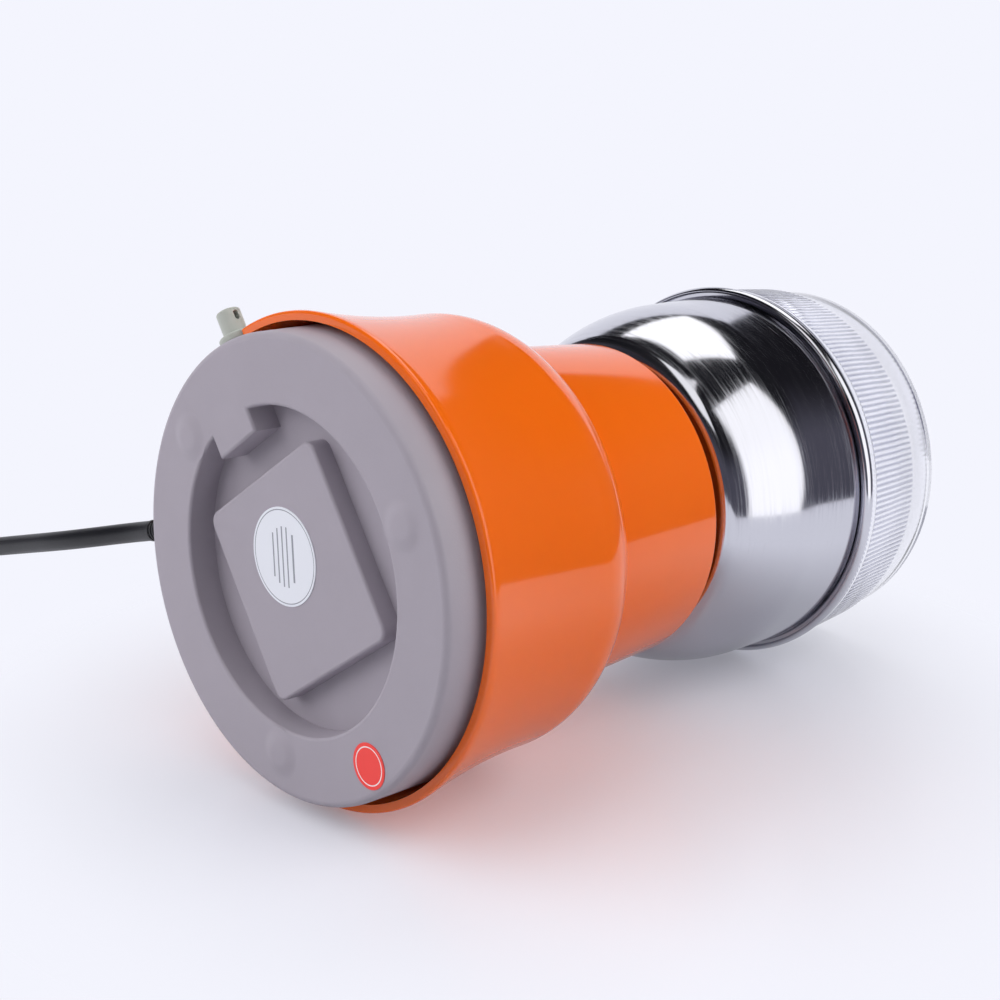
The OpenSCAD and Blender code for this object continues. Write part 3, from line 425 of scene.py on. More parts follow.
@dataclass(frozen=True)
class BrushedMetal(Finish):
    """Metal with brush lines that run round the Z axis: highlights stretch along the axis.

    Attributes:
        line_mm: spacing of the brush lines.
        reach_mm: length of a line.
    """

    line_mm: float = 0.3
    reach_mm: float = 24.0

    def surface(self, tree: bpy.types.NodeTree, shader: bpy.types.Node) -> None:
        """Add brush lines to relief and roughness."""
        place = add_node(tree, "ShaderNodeTexCoord").outputs["Object"]
        across, along = 1 / (self.reach_mm * MM), 1 / (self.line_mm * MM)
        stretched = add_node(tree, "ShaderNodeMapping", {"Vector": place, "Scale": (across, across, along)})
        lines = add_node(
            tree,
            "ShaderNodeTexNoise",
            {"Vector": stretched.outputs["Vector"], "Scale": 1.0, "Detail": 3.0, "Roughness": 0.7},
        ).outputs["Fac"]
        gloss = remap(tree, lines, 0.45, 0.75, self.roughness * 0.8, self.roughness * 2.5)
        tree.links.new(gloss, shader.inputs["Roughness"])
        self.raised(tree, shader, lines)
        tangent = add_node(tree, "ShaderNodeTangent", direction_type="RADIAL", axis="Z")
        tree.links.new(tangent.outputs["Tangent"], shader.inputs["Tangent"])


@dataclass(frozen=True)
class LayeredFinish(Finish):
    """Sheets or turns that lie on each other along Z, such as a laminated stack or a winding.

    Attributes:
        layer_mm: thickness of a layer, drawn coarser than real so that it shows.
        dark: sRGB colour of the joints between the layers.
    """

    layer_mm: float = 0.7
    dark: str = "#2c2a2a"

    def surface(self, tree: bpy.types.NodeTree, shader: bpy.types.Node) -> None:
        """Add the layers to colour and relief."""
        place = add_node(tree, "ShaderNodeTexCoord").outputs["Object"]
        waves = add_node(
            tree,
            "ShaderNodeTexWave",
            {"Vector": place, "Scale": math.pi / 10 / (self.layer_mm * MM), "Distortion": 0.6, "Detail": 1.0},
            bands_direction="Z",
        ).outputs["Fac"]
        tree.links.new(mix_colours(tree, waves, self.dark, self.colour), shader.inputs["Base Color"])
        self.raised(tree, shader, waves)


@dataclass(frozen=True)
class ClearPlastic(Finish):
    """Clear moulded plastic: smooth, see-through, with faint flow lines, and grooves tinted grey as a painted shade.

    Attributes:
        groove: sRGB colour painted into the mesh's grooves, a painted shade that draws dark bars on the ribs.
    """

    groove: str = "#a4a6b8"

    def surface(self, tree: bpy.types.NodeTree, shader: bpy.types.Node) -> None:
        """Add the faint flow relief, and the painted shade: a grey tint in the grooves that the mesh marks."""
        self.grained(tree, shader, add_node(tree, "ShaderNodeTexCoord").outputs["Object"])
        # Painted shade: the grooves that the mesh marks turn grey, drawing dark bars on the ribs.
        groove_shade_mask = add_node(tree, "ShaderNodeAttribute", attribute_name="groove").outputs["Fac"]
        tree.links.new(mix_colours(tree, groove_shade_mask, self.colour, self.groove), shader.inputs["Base Color"])


@dataclass(frozen=True)
class PrintedDisc(Finish):
    """A round printed film: a ground colour, a thin ring and plain printed bars.

    Attributes:
        centre: middle of the disc.
        ring_mm: radius of the printed ring.
        ring_w_mm: width of the ring.
        ink: sRGB colour of the print.
        bars: place and half size of each bar, as (centre u, centre v, half u, half v).
        turn: turn of the bars about the disc's middle, in degrees.
    """

    centre: tuple[float, float] = (0.0, 0.0)
    ring_mm: float = 10.0
    ring_w_mm: float = 0.25
    ink: str = "#8a8d96"
    bars: tuple[tuple[float, float, float, float], ...] = ()
    turn: float = 0.0

    def surface(self, tree: bpy.types.NodeTree, shader: bpy.types.Node) -> None:
        """Print the ring and the bars on the ground colour."""
        place = add_node(tree, "ShaderNodeTexCoord").outputs["Object"]
        turned_back = add_node(
            tree,
            "ShaderNodeMapping",
            {
                "Vector": place,
                "Location": (self.centre[0] * MM, self.centre[1] * MM, 0),
                "Rotation": (0, 0, math.radians(self.turn)),
                "Scale": (MM, MM, 1),
            },
            vector_type="TEXTURE",
        )
        flat = add_node(
            tree, "ShaderNodeVectorMath", {0: turned_back.outputs["Vector"], 1: (1, 1, 0)}, operation="MULTIPLY"
        ).outputs["Vector"]
        printed = calc(tree, "COMPARE", measure(tree, "LENGTH", flat), self.ring_mm, self.ring_w_mm / 2)
        axes = add_node(tree, "ShaderNodeSeparateXYZ", {"Vector": flat}).outputs
        for u, v, half_u, half_v in self.bars:
            wide = calc(tree, "COMPARE", axes["X"], u, half_u)
            high = calc(tree, "COMPARE", axes["Y"], v, half_v)
            printed = calc(tree, "MAXIMUM", printed, calc(tree, "MULTIPLY", wide, high))
        tree.links.new(mix_colours(tree, printed, self.colour, self.ink), shader.inputs["Base Color"])
        self.grained(tree, shader, place)


# ABS, moulded in a spark-eroded tool: a dull, slightly purple grey with a fine even grain.
GREY_ABS = Finish("grey_abs_moulded", "#a39ca6", 0.5, drift=0.03, drift_mm=22, grain_mm=0.45, grain_depth_mm=0.02)
# ABS from a polished tool: a deep clear orange whose gloss keeps sharp reflections, with a trace of orange peel.
ORANGE_ABS = Finish(
    "orange_abs_polished",
    "#f06a12",
    0.09,
    drift=0.02,
    drift_mm=40,
    grain_mm=6.0,
    grain_depth_mm=0.01,
    sockets={
        "IOR": 1.53,
        "Coat Weight": 0.06,
        "Coat Roughness": 0.04,
        "Subsurface Weight": 0.1,
        "Subsurface Radius": (2.4, 0.6, 0.1),
        "Subsurface Scale": 0.001,
    },
)
# Stainless steel sheet, spun and circular-brushed: fine lines round the bowl, long soft reflections along it.
BRUSHED_STAINLESS = BrushedMetal(
    "stainless_steel_brushed",
    "#cdcdd4",
    0.11,
    1.0,
    grain_depth_mm=0.002,
    sockets={"Anisotropic": 0.5},
)
# Styrene, moulded clear: water-clear walls with bright edges.
# Its groove colour is a painted shade laid into the ribs' grooves.
CLEAR_STYRENE = ClearPlastic(
    "clear_styrene_moulded",
    "#fdfdff",
    0.06,
    grain_mm=9.0,
    grain_depth_mm=0.02,
    sockets={"Transmission Weight": 1.0, "IOR": 1.4},
)
# Polypropylene, moulded unpigmented: milky greenish grey that light enters a little way.
MILKY_PP = Finish(
    "milky_polypropylene_moulded",
    "#b0b3ac",
    0.38,
    grain_mm=0.8,
    sockets={"Subsurface Weight": 0.35, "Subsurface Radius": (0.8, 0.9, 0.8), "Subsurface Scale": 0.001},
)
# Soft PVC sheath, extruded: black, satin, with faint die lines.
PVC_SHEATH = Finish("pvc_sheath_extruded", "#131318", 0.45, drift=0.1, drift_mm=20, grain_mm=0.7, grain_depth_mm=0.02)
# Hard PVC, moulded round the plug's pins: black with a fine grain.
PVC_MOULDED = Finish("pvc_plug_moulded", "#222226", 0.46, drift=0.08, grain_mm=0.5, grain_depth_mm=0.03)
# Polyester film, printed: white ground with a thin grey ring and plain grey bars.
WHITE_FILM = PrintedDisc(
    "white_film_printed",
    "#e4e6ee",
    0.35,
    grain_mm=1.5,
    grain_depth_mm=0.004,
    centre=(-1.6, -3.9),
    ring_mm=10.2,
    ring_w_mm=0.22,
    ink="#8c8e98",
    bars=((0, 3.2, 5.2, 0.3), (0, 1.2, 6.6, 0.22), (0, -0.4, 6.6, 0.22), (0, -2.0, 6.0, 0.22), (0, -3.6, 4.8, 0.22)),
    turn=-60,
)
# Coated paper, printed: flat red with a thin white ring.
RED_PAPER = PrintedDisc(
    "red_paper_printed",
    "#f4433d",
    0.45,
    grain_mm=1.2,
    grain_depth_mm=0.006,
    centre=(3.09, 44.19),
    ring_mm=4.1,
    ring_w_mm=0.25,
    ink="#f3e6e6",
)
# Carbon steel, zinc plated: pale bluish metal with a soft bloom.
ZINC_STEEL = Finish("zinc_plated_steel", "#b9bcc4", 0.34, 1.0, drift=0.1, drift_mm=5, grain_mm=0.8)
# Stainless spring steel, stamped and ground: bright along its edges.
GROUND_STEEL = Finish("ground_stainless_steel", "#cfcfd4", 0.24, 1.0, drift=0.06, drift_mm=4, grain_mm=0.5)
# Brass, turned.
TURNED_BRASS = BrushedMetal("turned_brass", "#c9a659", 0.28, 1.0, line_mm=0.25, grain_depth_mm=0.003)
# Brass, drawn and nickel plated, on the plug's pins.
PIN_METAL = Finish(
    "nickel_plated_brass", "#c8c4b8", 0.22, 1.0, drift=0.05, drift_mm=4, grain_mm=0.6, grain_depth_mm=0.004
)
# Nitrile rubber, moulded: dull black.
BLACK_RUBBER = Finish("black_rubber_moulded", "#2e2e31", 0.72, drift=0.1, grain_mm=0.5, grain_depth_mm=0.02)
# Electrical sheet steel, stacked: fine dark joints between the sheets.
STACKED_IRON = LayeredFinish("laminated_iron_stacked", "#85878c", 0.45, 1.0, grain_depth_mm=0.05)
# Enamelled copper wire, wound: reddish turns with dark joints.
WOUND_COPPER = LayeredFinish("enamelled_copper_wound", "#b0672f", 0.32, 0.9, grain_depth_mm=0.12, dark="#4a2413")
# Nylon, moulded: off-white fan.
WHITE_NYLON = Finish("white_nylon_moulded", "#d9d6cb", 0.5, grain_mm=0.6)
# Phenolic resin, moulded: dark brown brush holders.
BROWN_PHENOLIC = Finish("brown_phenolic_moulded", "#4b3428", 0.45, drift=0.12, drift_mm=3)
# Graphite, pressed: dull near-black.
PRESSED_CARBON = Finish("pressed_carbon", "#303034", 0.6, drift=0.15, drift_mm=1.5, grain_mm=0.3, grain_depth_mm=0.03)
# Nylon, moulded black: switch body and cord clamp.
BLACK_NYLON = Finish("black_nylon_moulded", "#2b2b2f", 0.5, grain_mm=0.5, grain_depth_mm=0.02)
# Acetal, moulded red: switch plunger.
RED_ACETAL = Finish("red_acetal_moulded", "#c23a34", 0.35, grain_mm=0.6)


@dataclass
class Studio:
    """Camera, floors, lamps and background.

    Attributes:
        eye: place of the camera.
        right: the picture's right in the part's frame.
        up: the picture's up.
        forward: the viewing direction.
        lens: focal length on a 36 mm sensor.
        floor_up: upward normal of the floor that the photographed grinder lies on.
        floor_offset: distance of that floor along its normal.
        middle: point that the lamps shine on, in metres.
        spot: point of the table from which it fades into the backdrop, in metres.
        fade: distances at which that starts and ends, in metres.
        vanish: distances between which the camera stops seeing the table, in metres.
        paper: sRGB colour of the backdrop.
        ambient: strength of the plain light from the left and from the right.
        table_edge: distance to the right at which the table ends in reflections, in metres.
    """

    eye: Point = (320.04, 74.20, -230.48)
    right: Point = (0.57898, 0.37025, 0.7264)
    up: Point = (0.37751, -0.91141, 0.1637)
    forward: Point = (-0.72275, -0.17944, 0.6675)
    lens: float = 68.4
    floor_up: Point = (0.57279, -0.81805, -0.0522)
    floor_offset: float = -54.8
    middle: Point = (0.0, 0.0, 0.085)
    spot: Point = (-0.025, 0.048, 0.07)
    fade: tuple[float, float] = (0.055, 0.155)
    vanish: tuple[float, float] = (0.138, 0.156)
    paper: str = "#f4f5fe"
    ambient: tuple[float, float] = (0.7, 0.14)
    table_edge: float = 0.376

    def camera(self) -> bpy.types.Object:
        """Set up the photograph's camera.

        Returns:
            The camera object.
        """
        data = bpy.data.cameras.new("photo_camera")
        data.lens = self.lens
        data.sensor_width = 36.0
        data.clip_start = 0.01
        camera = bpy.data.objects.new("photo_camera", data)
        back = [-value for value in self.forward]
        camera.matrix_world = Matrix(
            [
                (r, u, b, place * MM)
                for r, u, b, place in zip(self.right, self.up, back, self.eye)
            ]
            + [(0, 0, 0, 1)]
        )
        bpy.context.scene.collection.objects.link(camera)
        bpy.context.scene.camera = camera
        return camera

    def axes(self) -> tuple[Vector, Vector, Vector]:
        """Give the lying grinder's directions: up from its floor, towards the camera, and to the right."""
        above = Vector(self.floor_up).normalized()
        near = -Vector(self.forward)
        near = (near - near.dot(above) * above).normalized()
        return above, near, near.cross(above) * -1

    def pale_floor(self, name: str) -> bpy.types.Material:
        """Make a pale, slightly glossy table top that fades into the backdrop away from the grinder, with painted
        shade in what reflections and bounce light see of it and a painted glow in its shadow.

        Args:
            name: name of the material.

        Returns:
            The material, seen from its upper side only; light passes through it.
        """
        made = bpy.data.materials.new(name)
        made.use_nodes = True
        tree = made.node_tree
        shader = tree.nodes["Principled BSDF"]
        path = add_node(tree, "ShaderNodeLightPath").outputs
        # Painted shade: reflections see the table darker (#b0b0b9) and bounce light sees it dimmer (#cdcdd3) than the
        # camera's #ececf4.
        tone_with_painted_shade = mix_colours(tree, path["Is Glossy Ray"], "#ececf4", "#b0b0b9")
        tone_with_painted_shade = mix_colours(tree, path["Is Diffuse Ray"], tone_with_painted_shade, "#cdcdd3")
        tree.links.new(tone_with_painted_shade, shader.inputs["Base Color"])
        shader.inputs["Roughness"].default_value = 0.3
        shader.inputs["Specular IOR Level"].default_value = 0.4
        place = add_node(tree, "ShaderNodeTexCoord").outputs["Object"]
        away = measure(tree, "DISTANCE", place, self.spot)
        direct = calc(tree, "SUBTRACT", 1.0, path["Is Diffuse Ray"])
        # Painted light: even next to the grinder the table glows with 0.15 of the backdrop, which lightens its shadow
        # there.
        fade = calc(tree, "MULTIPLY", remap(tree, away, *self.fade, 0.15, 1.0, smooth=True), direct)
        backdrop = add_node(tree, "ShaderNodeEmission", {"Color": linear(self.paper), "Strength": 1.0})
        clear = add_node(tree, "ShaderNodeBsdfTransparent")
        gone = calc(tree, "MULTIPLY", remap(tree, away, *self.vanish, smooth=True), path["Is Camera Ray"])
        beyond = mix_shaders(tree, gone, backdrop.outputs["Emission"], clear.outputs["BSDF"])
        table = mix_shaders(tree, fade, shader.outputs["BSDF"], beyond)
        along = measure(tree, "DOT_PRODUCT", place, self.axes()[2])
        off = calc(tree, "MULTIPLY", calc(tree, "GREATER_THAN", along, self.table_edge), path["Is Glossy Ray"])
        below = add_node(tree, "ShaderNodeNewGeometry").outputs["Backfacing"]
        hidden = calc(tree, "MAXIMUM", calc(tree, "MAXIMUM", off, below), path["Is Shadow Ray"])
        self.see_through(tree, table, hidden)
        return made

    def plain_floor(self, name: str) -> bpy.types.Material:
        """Make a pale floor that only the camera sees, and only from above.

        Args:
            name: name of the material.

        Returns:
            The material.
        """
        made = bpy.data.materials.new(name)
        made.use_nodes = True
        tree = made.node_tree
        shader = tree.nodes["Principled BSDF"]
        shader.inputs["Base Color"].default_value = linear("#4a4a4e")
        shader.inputs["Roughness"].default_value = 0.6
        shader.inputs["Emission Color"].default_value = linear("#eaebf5")
        shader.inputs["Emission Strength"].default_value = 1.0
        seen = add_node(tree, "ShaderNodeLightPath").outputs["Is Camera Ray"]
        below = add_node(tree, "ShaderNodeNewGeometry").outputs["Backfacing"]
        hidden = calc(tree, "MAXIMUM", below, calc(tree, "SUBTRACT", 1.0, seen))
        self.see_through(tree, shader.outputs["BSDF"], hidden)
        return made

    def see_through(
        self, tree: bpy.types.NodeTree, surface: bpy.types.NodeSocket, hidden: bpy.types.NodeSocket
    ) -> None:
        """Let a floor vanish where it is hidden.

        Args:
            tree: the floor's nodes.
            surface: its shader.
            hidden: 1 where the floor isn't there.
        """
        clear = add_node(tree, "ShaderNodeBsdfTransparent").outputs["BSDF"]
        mixed = mix_shaders(tree, hidden, surface, clear)
        tree.links.new(mixed, tree.nodes["Material Output"].inputs["Surface"])

    def floors(self) -> None:
        """Lay the table of the lying grinder and the floor that the upright part stands on."""
        above, near, side = self.axes()
        turn = Matrix((side, -near, above)).transposed().to_4x4()
        table = Matrix.Translation(above * self.floor_offset * MM) @ turn
        lying = self.sheet("lying_floor", table)
        lying.data.materials.append(self.pale_floor("pale_table"))
        standing = self.sheet("standing_floor", Matrix.Translation((0, 0, -0.0002)))
        standing.data.materials.append(self.plain_floor("pale_floor"))

    def sheet(self, name: str, place: Matrix) -> bpy.types.Object:
        """Lay a large flat sheet as stage.

        Args:
            name: name of the sheet.
            place: its place, its Z being the sheet's upper side.

        Returns:
            The sheet.
        """
        bm = bmesh.new()
        bmesh.ops.create_grid(bm, x_segments=1, y_segments=1, size=12.0, matrix=place)
        laid = finished(bm, name)
        return laid

    def lamp(
        self,
        name: str,
        towards: Vector,
        size: tuple[float, float],
        watts: float,
        turn: float = 0.0,
        mirrored: bool = True,
    ) -> None:
        """Hang a soft rectangular lamp that shines on the grinder.

        Args:
            name: name of the lamp.
            towards: direction in which it hangs, with its distance in metres.
            size: its width and height in metres, the height running upwards from the table.
            watts: its power.
            turn: turn of its panel about its own line, in degrees.
            mirrored: whether glossy surfaces show it.
        """
        data = bpy.data.lights.new(name, "AREA")
        data.shape = "RECTANGLE"
        data.size, data.size_y = size
        data.energy = watts
        lamp = bpy.data.objects.new(name, data)
        above = self.axes()[0]
        back = towards.normalized()
        across = above.cross(back).normalized()
        facing = Matrix((across, back.cross(across), back)).transposed().to_4x4()
        spun = Matrix.Rotation(math.radians(turn), 4, "Z")
        lamp.matrix_world = Matrix.Translation(Vector(self.middle) + towards) @ facing @ spun
        lamp.visible_camera = False
        lamp.visible_glossy = mirrored
        bpy.context.scene.collection.objects.link(lamp)

    def aimed(self, elevation: float, azimuth: float, distance: float) -> Vector:
        """Give a direction round the lying grinder.

        Args:
            elevation: degrees above its floor.
            azimuth: degrees from the camera's side, to the right.
            distance: length of the result in metres.

        Returns:
            The vector.
        """
        above, near, side = self.axes()
        e, a = math.radians(elevation), math.radians(azimuth)
        return distance * (math.sin(e) * above + math.cos(e) * (math.cos(a) * near + math.sin(a) * side))

    def lamps(self) -> None:
        """Hang lamps behind the lying grinder, at its right and over its front, and fills before and behind it."""
        self.lamp("overhead_lamp", self.aimed(55, 164, 1.0), (0.44, 0.74), 1.8, turn=44)
        self.lamp("right_lamp", self.aimed(19.6, 67.5, 1.0), (0.69, 1.54), 5.0, turn=-8)
        self.lamp("front_lamp", self.aimed(66, -12, 1.0), (0.6, 0.85), 2.0)
        self.lamp("side_lamp", self.aimed(36, 72, 1.1), (0.9, 0.8), 4.2, mirrored=False)
        self.lamp("fill_lamp", self.aimed(25, -85, 1.1), (1.2, 0.75), 6.6, mirrored=False)
        self.lamp("back_lamp", self.aimed(-35, 175, 1.1), (1.0, 0.9), 5.0, mirrored=False)

    def world(self) -> None:
        """Surround the part with plain light, a pale backdrop behind it and a dark room on the camera's side."""
        world = bpy.data.worlds.new("studio")
        bpy.context.scene.world = world
        world.use_nodes = True
        tree = world.node_tree
        tree.nodes.clear()
        above, near, side = self.axes()
        path = add_node(tree, "ShaderNodeLightPath").outputs
        look = add_node(tree, "ShaderNodeTexCoord").outputs["Generated"]
        away, height, along = [measure(tree, "DOT_PRODUCT", look, axis) for axis in (-near, above, side)]
        behind = remap(tree, away, 0.69, 0.73, smooth=True)
        low = remap(tree, height, 0.47, 0.49, 1.0, 0.0, smooth=True)
        ceiling = remap(tree, height, 0.25, 0.6, smooth=True)
        room = mix_colours(tree, ceiling, "#54535f", "#18181c")
        room = mix_colours(tree, calc(tree, "MULTIPLY", behind, low), room, self.paper)
        through = calc(tree, "GREATER_THAN", path["Transmission Depth"], 0.5)
        room = mix_colours(tree, through, room, "#e2e3ee")
        beside = remap(tree, height, -0.16, 0.06)
        bent = calc(tree, "MULTIPLY", beside, path["Is Transmission Ray"])
        glass = mix_colours(tree, bent, self.paper, "#74768a")
        strength = remap(tree, along, -0.7, 0.2, *self.ambient)
        ambient = self.plain_light(tree, linear("#f6f6fb"), strength)
        inner = mix_shaders(tree, path["Is Glossy Ray"], ambient, self.plain_light(tree, room, 1.0))
        seen = calc(tree, "MAXIMUM", path["Is Camera Ray"], path["Is Transmission Ray"])
        outer = mix_shaders(tree, seen, inner, self.plain_light(tree, glass, 1.0))
        add_node(tree, "ShaderNodeOutputWorld", {"Surface": outer})

    def plain_light(self, tree: bpy.types.NodeTree, colour: Any, strength: Any) -> bpy.types.NodeSocket:
        """Give light from all round, its colour and its strength each a value or a socket."""
        return add_node(tree, "ShaderNodeBackground", {"Color": colour, "Strength": strength}).outputs["Background"]

    def build(self) -> None:
        """Set up the whole studio."""
        bpy.context.scene.view_settings.view_transform = "Standard"
        self.camera()
        self.floors()
        self.lamps()
        self.world()


@dataclass
class CordSet:
    """Mains cord: gland, run, coil with its tie, tail and plug.

    Attributes:
        diameter: diameter of the sheath.
        heading: direction in which it leaves, in degrees.
        offset: sideways offset of its line from the axis.
        exit_x: distance along its line at which it leaves the gland.
        exit_z: height at which it leaves.
        coil_x: distance of the coil's middle along the line.
        coil_radius: radius of the outermost turn.
        coil_pitch: distance between neighbouring turns and layers.
        coil_low: height of the lower layer.
        coil_turns: number of turns.
        gland_in: inner end of the gland along the line.
        gland_flange: inner face of its flange.
        gland_wall: outer face of its flange.
        gland_taper: start of its ribbed taper.
        gland_r: radius of the gland in the base's wall.
        boot: length of the plug's boot.
        boot_r: radius of the boot at the plug.
        plug_size: width, length and thickness of the plug's body.
    """

    diameter: float = 4.8
    heading: float = -161.0
    offset: float = 10.8
    exit_x: float = 59.8
    exit_z: float = 7.4
    coil_x: float = 190.0
    coil_radius: float = 30.2
    coil_pitch: float = 5.3
    coil_low: float = 3.8
    coil_turns: float = 4.25
    gland_in: float = 38.5
    gland_flange: float = 44.3
    gland_wall: float = 46.3
    gland_taper: float = 51.8
    gland_r: float = 3.6
    boot: float = 18.0
    boot_r: float = 5.0
    plug_size: Point = (27.0, 26.0, 13.8)

    def placed(self, point: Point) -> Vector:
        """Turn a point of the cord's own frame into the part's frame, in metres."""
        return Matrix.Rotation(math.radians(self.heading), 3, "Z") @ Vector(point) * MM

    def coil_point(self, turn: float) -> Point:
        """Give a point of the coil in the cord's own frame.

        Args:
            turn: turns from the coil's start.

        Returns:
            The point.
        """
        radius = self.coil_radius - self.coil_pitch * (turn if turn < 2 else 4 - turn)
        climb = min(1.0, max(0.0, (turn - 1.75) / 0.5))
        height = self.coil_low + self.coil_pitch * climb * climb * (3 - 2 * climb)
        angle = 2 * math.pi * turn
        middle = self.offset - self.coil_radius
        return (self.coil_x + radius * math.sin(angle), middle + radius * math.cos(angle), height)

    def route(self) -> list[Vector]:
        """Give the points that the cord follows from the gland to the plug."""
        low = self.coil_low
        run = [
            (self.exit_x, self.exit_z), (64, self.exit_z), (69, 7.0), (74, 6.1), (79, 5.0), (84, 4.0), (89, 3.2),
            (94, 2.7), (99, 2.5), (108, 2.5), (117, 2.5), (126, 2.5), (135, 2.5), (142, 2.5), (150, 2.5), (159, 2.6),
            (167, 2.9), (175, 3.4), (181, low), (self.coil_x - self.diameter, low),
        ]
        points: list[Point] = [(x, self.offset, z) for x, z in run]
        rings = 24
        points += [self.coil_point(i / rings) for i in range(int(self.coil_turns * rings) + 1)]
        x, y, z = points[-1]
        drops = [(0, 0), (5, 0), (9, 0.2), (12, 0.7), (15, 1.3), (18, 1.8), (21, 2), (26, 2)]
        points += [(x, y - self.diameter - ahead, z - drop) for ahead, drop in drops]
        return [self.placed(point) for point in points]

    def sheath(self) -> bpy.types.Object:
        points = self.route()
        data = bpy.data.curves.new("mains_cord", "CURVE")
        data.dimensions = "3D"
        data.bevel_depth = self.diameter / 2 * MM
        data.bevel_resolution = 5
        data.use_fill_caps = True
        data.resolution_u = 3
        spline = data.splines.new("BEZIER")
        spline.bezier_points.add(len(points) - 1)
        for knot, point in zip(spline.bezier_points, points):
            knot.co = point
            knot.handle_left_type = knot.handle_right_type = "AUTO"
        cord = bpy.data.objects.new("mains_cord", data)
        bpy.context.scene.collection.objects.link(cord)
        dress(cord, Body.HOUSING, Slot.CORD, PVC_SHEATH, "cord_run", "cord_coil", "cord_tail")
        plug = self.plug(points[-1])
        return cord

    def ribbed(self, start: float, stop: float, first: float, last: float, rings: int) -> Profile:
        """Give the profile of a bend relief with ring grooves.

        Args:
            start: height of its first groove.
            stop: height after its last groove.
            first: radius at the start.
            last: radius at the end.
            rings: number of grooves.

        Returns:
            The profile, upwards.
        """
        pitch = (stop - start) / rings
        points: Profile = []
        for ring in range(rings):
            z, r = start + pitch * ring, first + (last - first) * ring / (rings - 1)
            points += [(r, z), (r - 0.45, z + 0.12 * pitch), (r - 0.45, z + 0.4 * pitch), (r, z + 0.52 * pitch)]
        return points

    def gland(self) -> bpy.types.Object:
        """Turn the gland with its flange and its ribbed taper."""
        tip = self.diameter / 2 + 0.15
        profile = [
            (0, self.gland_in), (self.gland_r - 0.4, self.gland_in), (self.gland_r - 0.4, self.gland_flange),
            (self.gland_r + 0.8, self.gland_flange), (self.gland_r + 0.8, self.gland_wall),
            (self.gland_r, self.gland_wall), (self.gland_r, self.gland_taper),
        ]
        profile += self.ribbed(self.gland_taper + 0.6, self.exit_x - 0.6, self.gland_r - 0.1, tip, 4)
        profile += [(tip, self.exit_x - 0.3), (tip - 0.3, self.exit_x), (0, self.exit_x)]
        bm = turned(profile, 48)
        turn = Matrix.Rotation(math.radians(self.heading), 4, "Z")
        lay = Matrix.Translation((0, self.offset * MM, self.exit_z * MM)) @ Matrix.Rotation(math.radians(90), 4, "Y")
        bmesh.ops.transform(bm, matrix=turn @ lay, verts=bm.verts[:])
        return dress(finished(bm, "cord_gland_ribbed"), Body.HOUSING, Slot.CORD, PVC_MOULDED, "cord_gland")

    def bar(self, bm: bmesh.types.BMesh, middle: Point, size: Point, edge: float) -> None:
        """Add a block with rounded edges.

        Args:
            bm: mesh that gets it.
            middle: its middle.
            size: its width, length and height.
            edge: rounding of its edges.
        """
        place = Matrix.Translation(Vector(middle) * MM) @ Matrix.Diagonal((*(Vector(size) * MM), 1.0))
        verts = bmesh.ops.create_cube(bm, size=1.0, matrix=place)["verts"]
        edges = list({e for v in verts for e in v.link_edges})
        bmesh.ops.bevel(
            bm, geom=edges, offset=edge * MM, segments=4, profile=0.5, affect="EDGES", material=-1, clamp_overlap=True
        )

    def plug(self, start: Vector) -> bpy.types.Object:
        """Mould the plug: a ribbed boot and a rounded body with grip bars on both faces.

        Args:
            start: point where the cord enters the boot.

        Returns:
            The plug without its pins.
        """
        wide, long, thick = self.plug_size
        tip = self.diameter / 2 + 0.5
        profile = [(0, 0), (tip - 0.3, 0), (tip, 0.3)]
        profile += self.ribbed(1.2, self.boot - 2.4, tip + 0.1, self.boot_r - 0.3, 6)
        profile += [(self.boot_r, self.boot - 1.5), (self.boot_r, self.boot + 1.5), (0, self.boot + 1.5)]
        bm = turned(profile, 48)
        bmesh.ops.transform(bm, matrix=Matrix.Rotation(math.radians(-90), 4, "X"), verts=bm.verts[:])
        self.bar(bm, (0, self.boot + long / 2, 0), (wide, long, thick - 0.8), 3.2)
        for row in range(4):
            for face in (-1, 1):
                y = self.boot + 7.5 + 3.4 * row
                self.bar(bm, (0, y, face * (thick / 2 - 0.7)), (wide * (0.6 - 0.06 * row), 1.5, 1.4), 0.5)
        turn = Matrix.Rotation(math.radians(self.heading + 180), 4, "Z")
        bmesh.ops.transform(bm, matrix=Matrix.Translation(start) @ turn, verts=bm.verts[:])
        return dress(finished(bm, "plug_moulded"), Body.HOUSING, Slot.CORD, PVC_MOULDED, "plug_body")

    def build(self) -> None:
        """Make the cord and dress what is on it."""
        self.sheath()
        self.gland()
        redress(PIN_METAL, "plug_pins")
        redress(BLACK_RUBBER, "cord_tie")
        redress(BLACK_NYLON, "cord_clamp")
        redress(ZINC_STEEL, "clamp_screws")


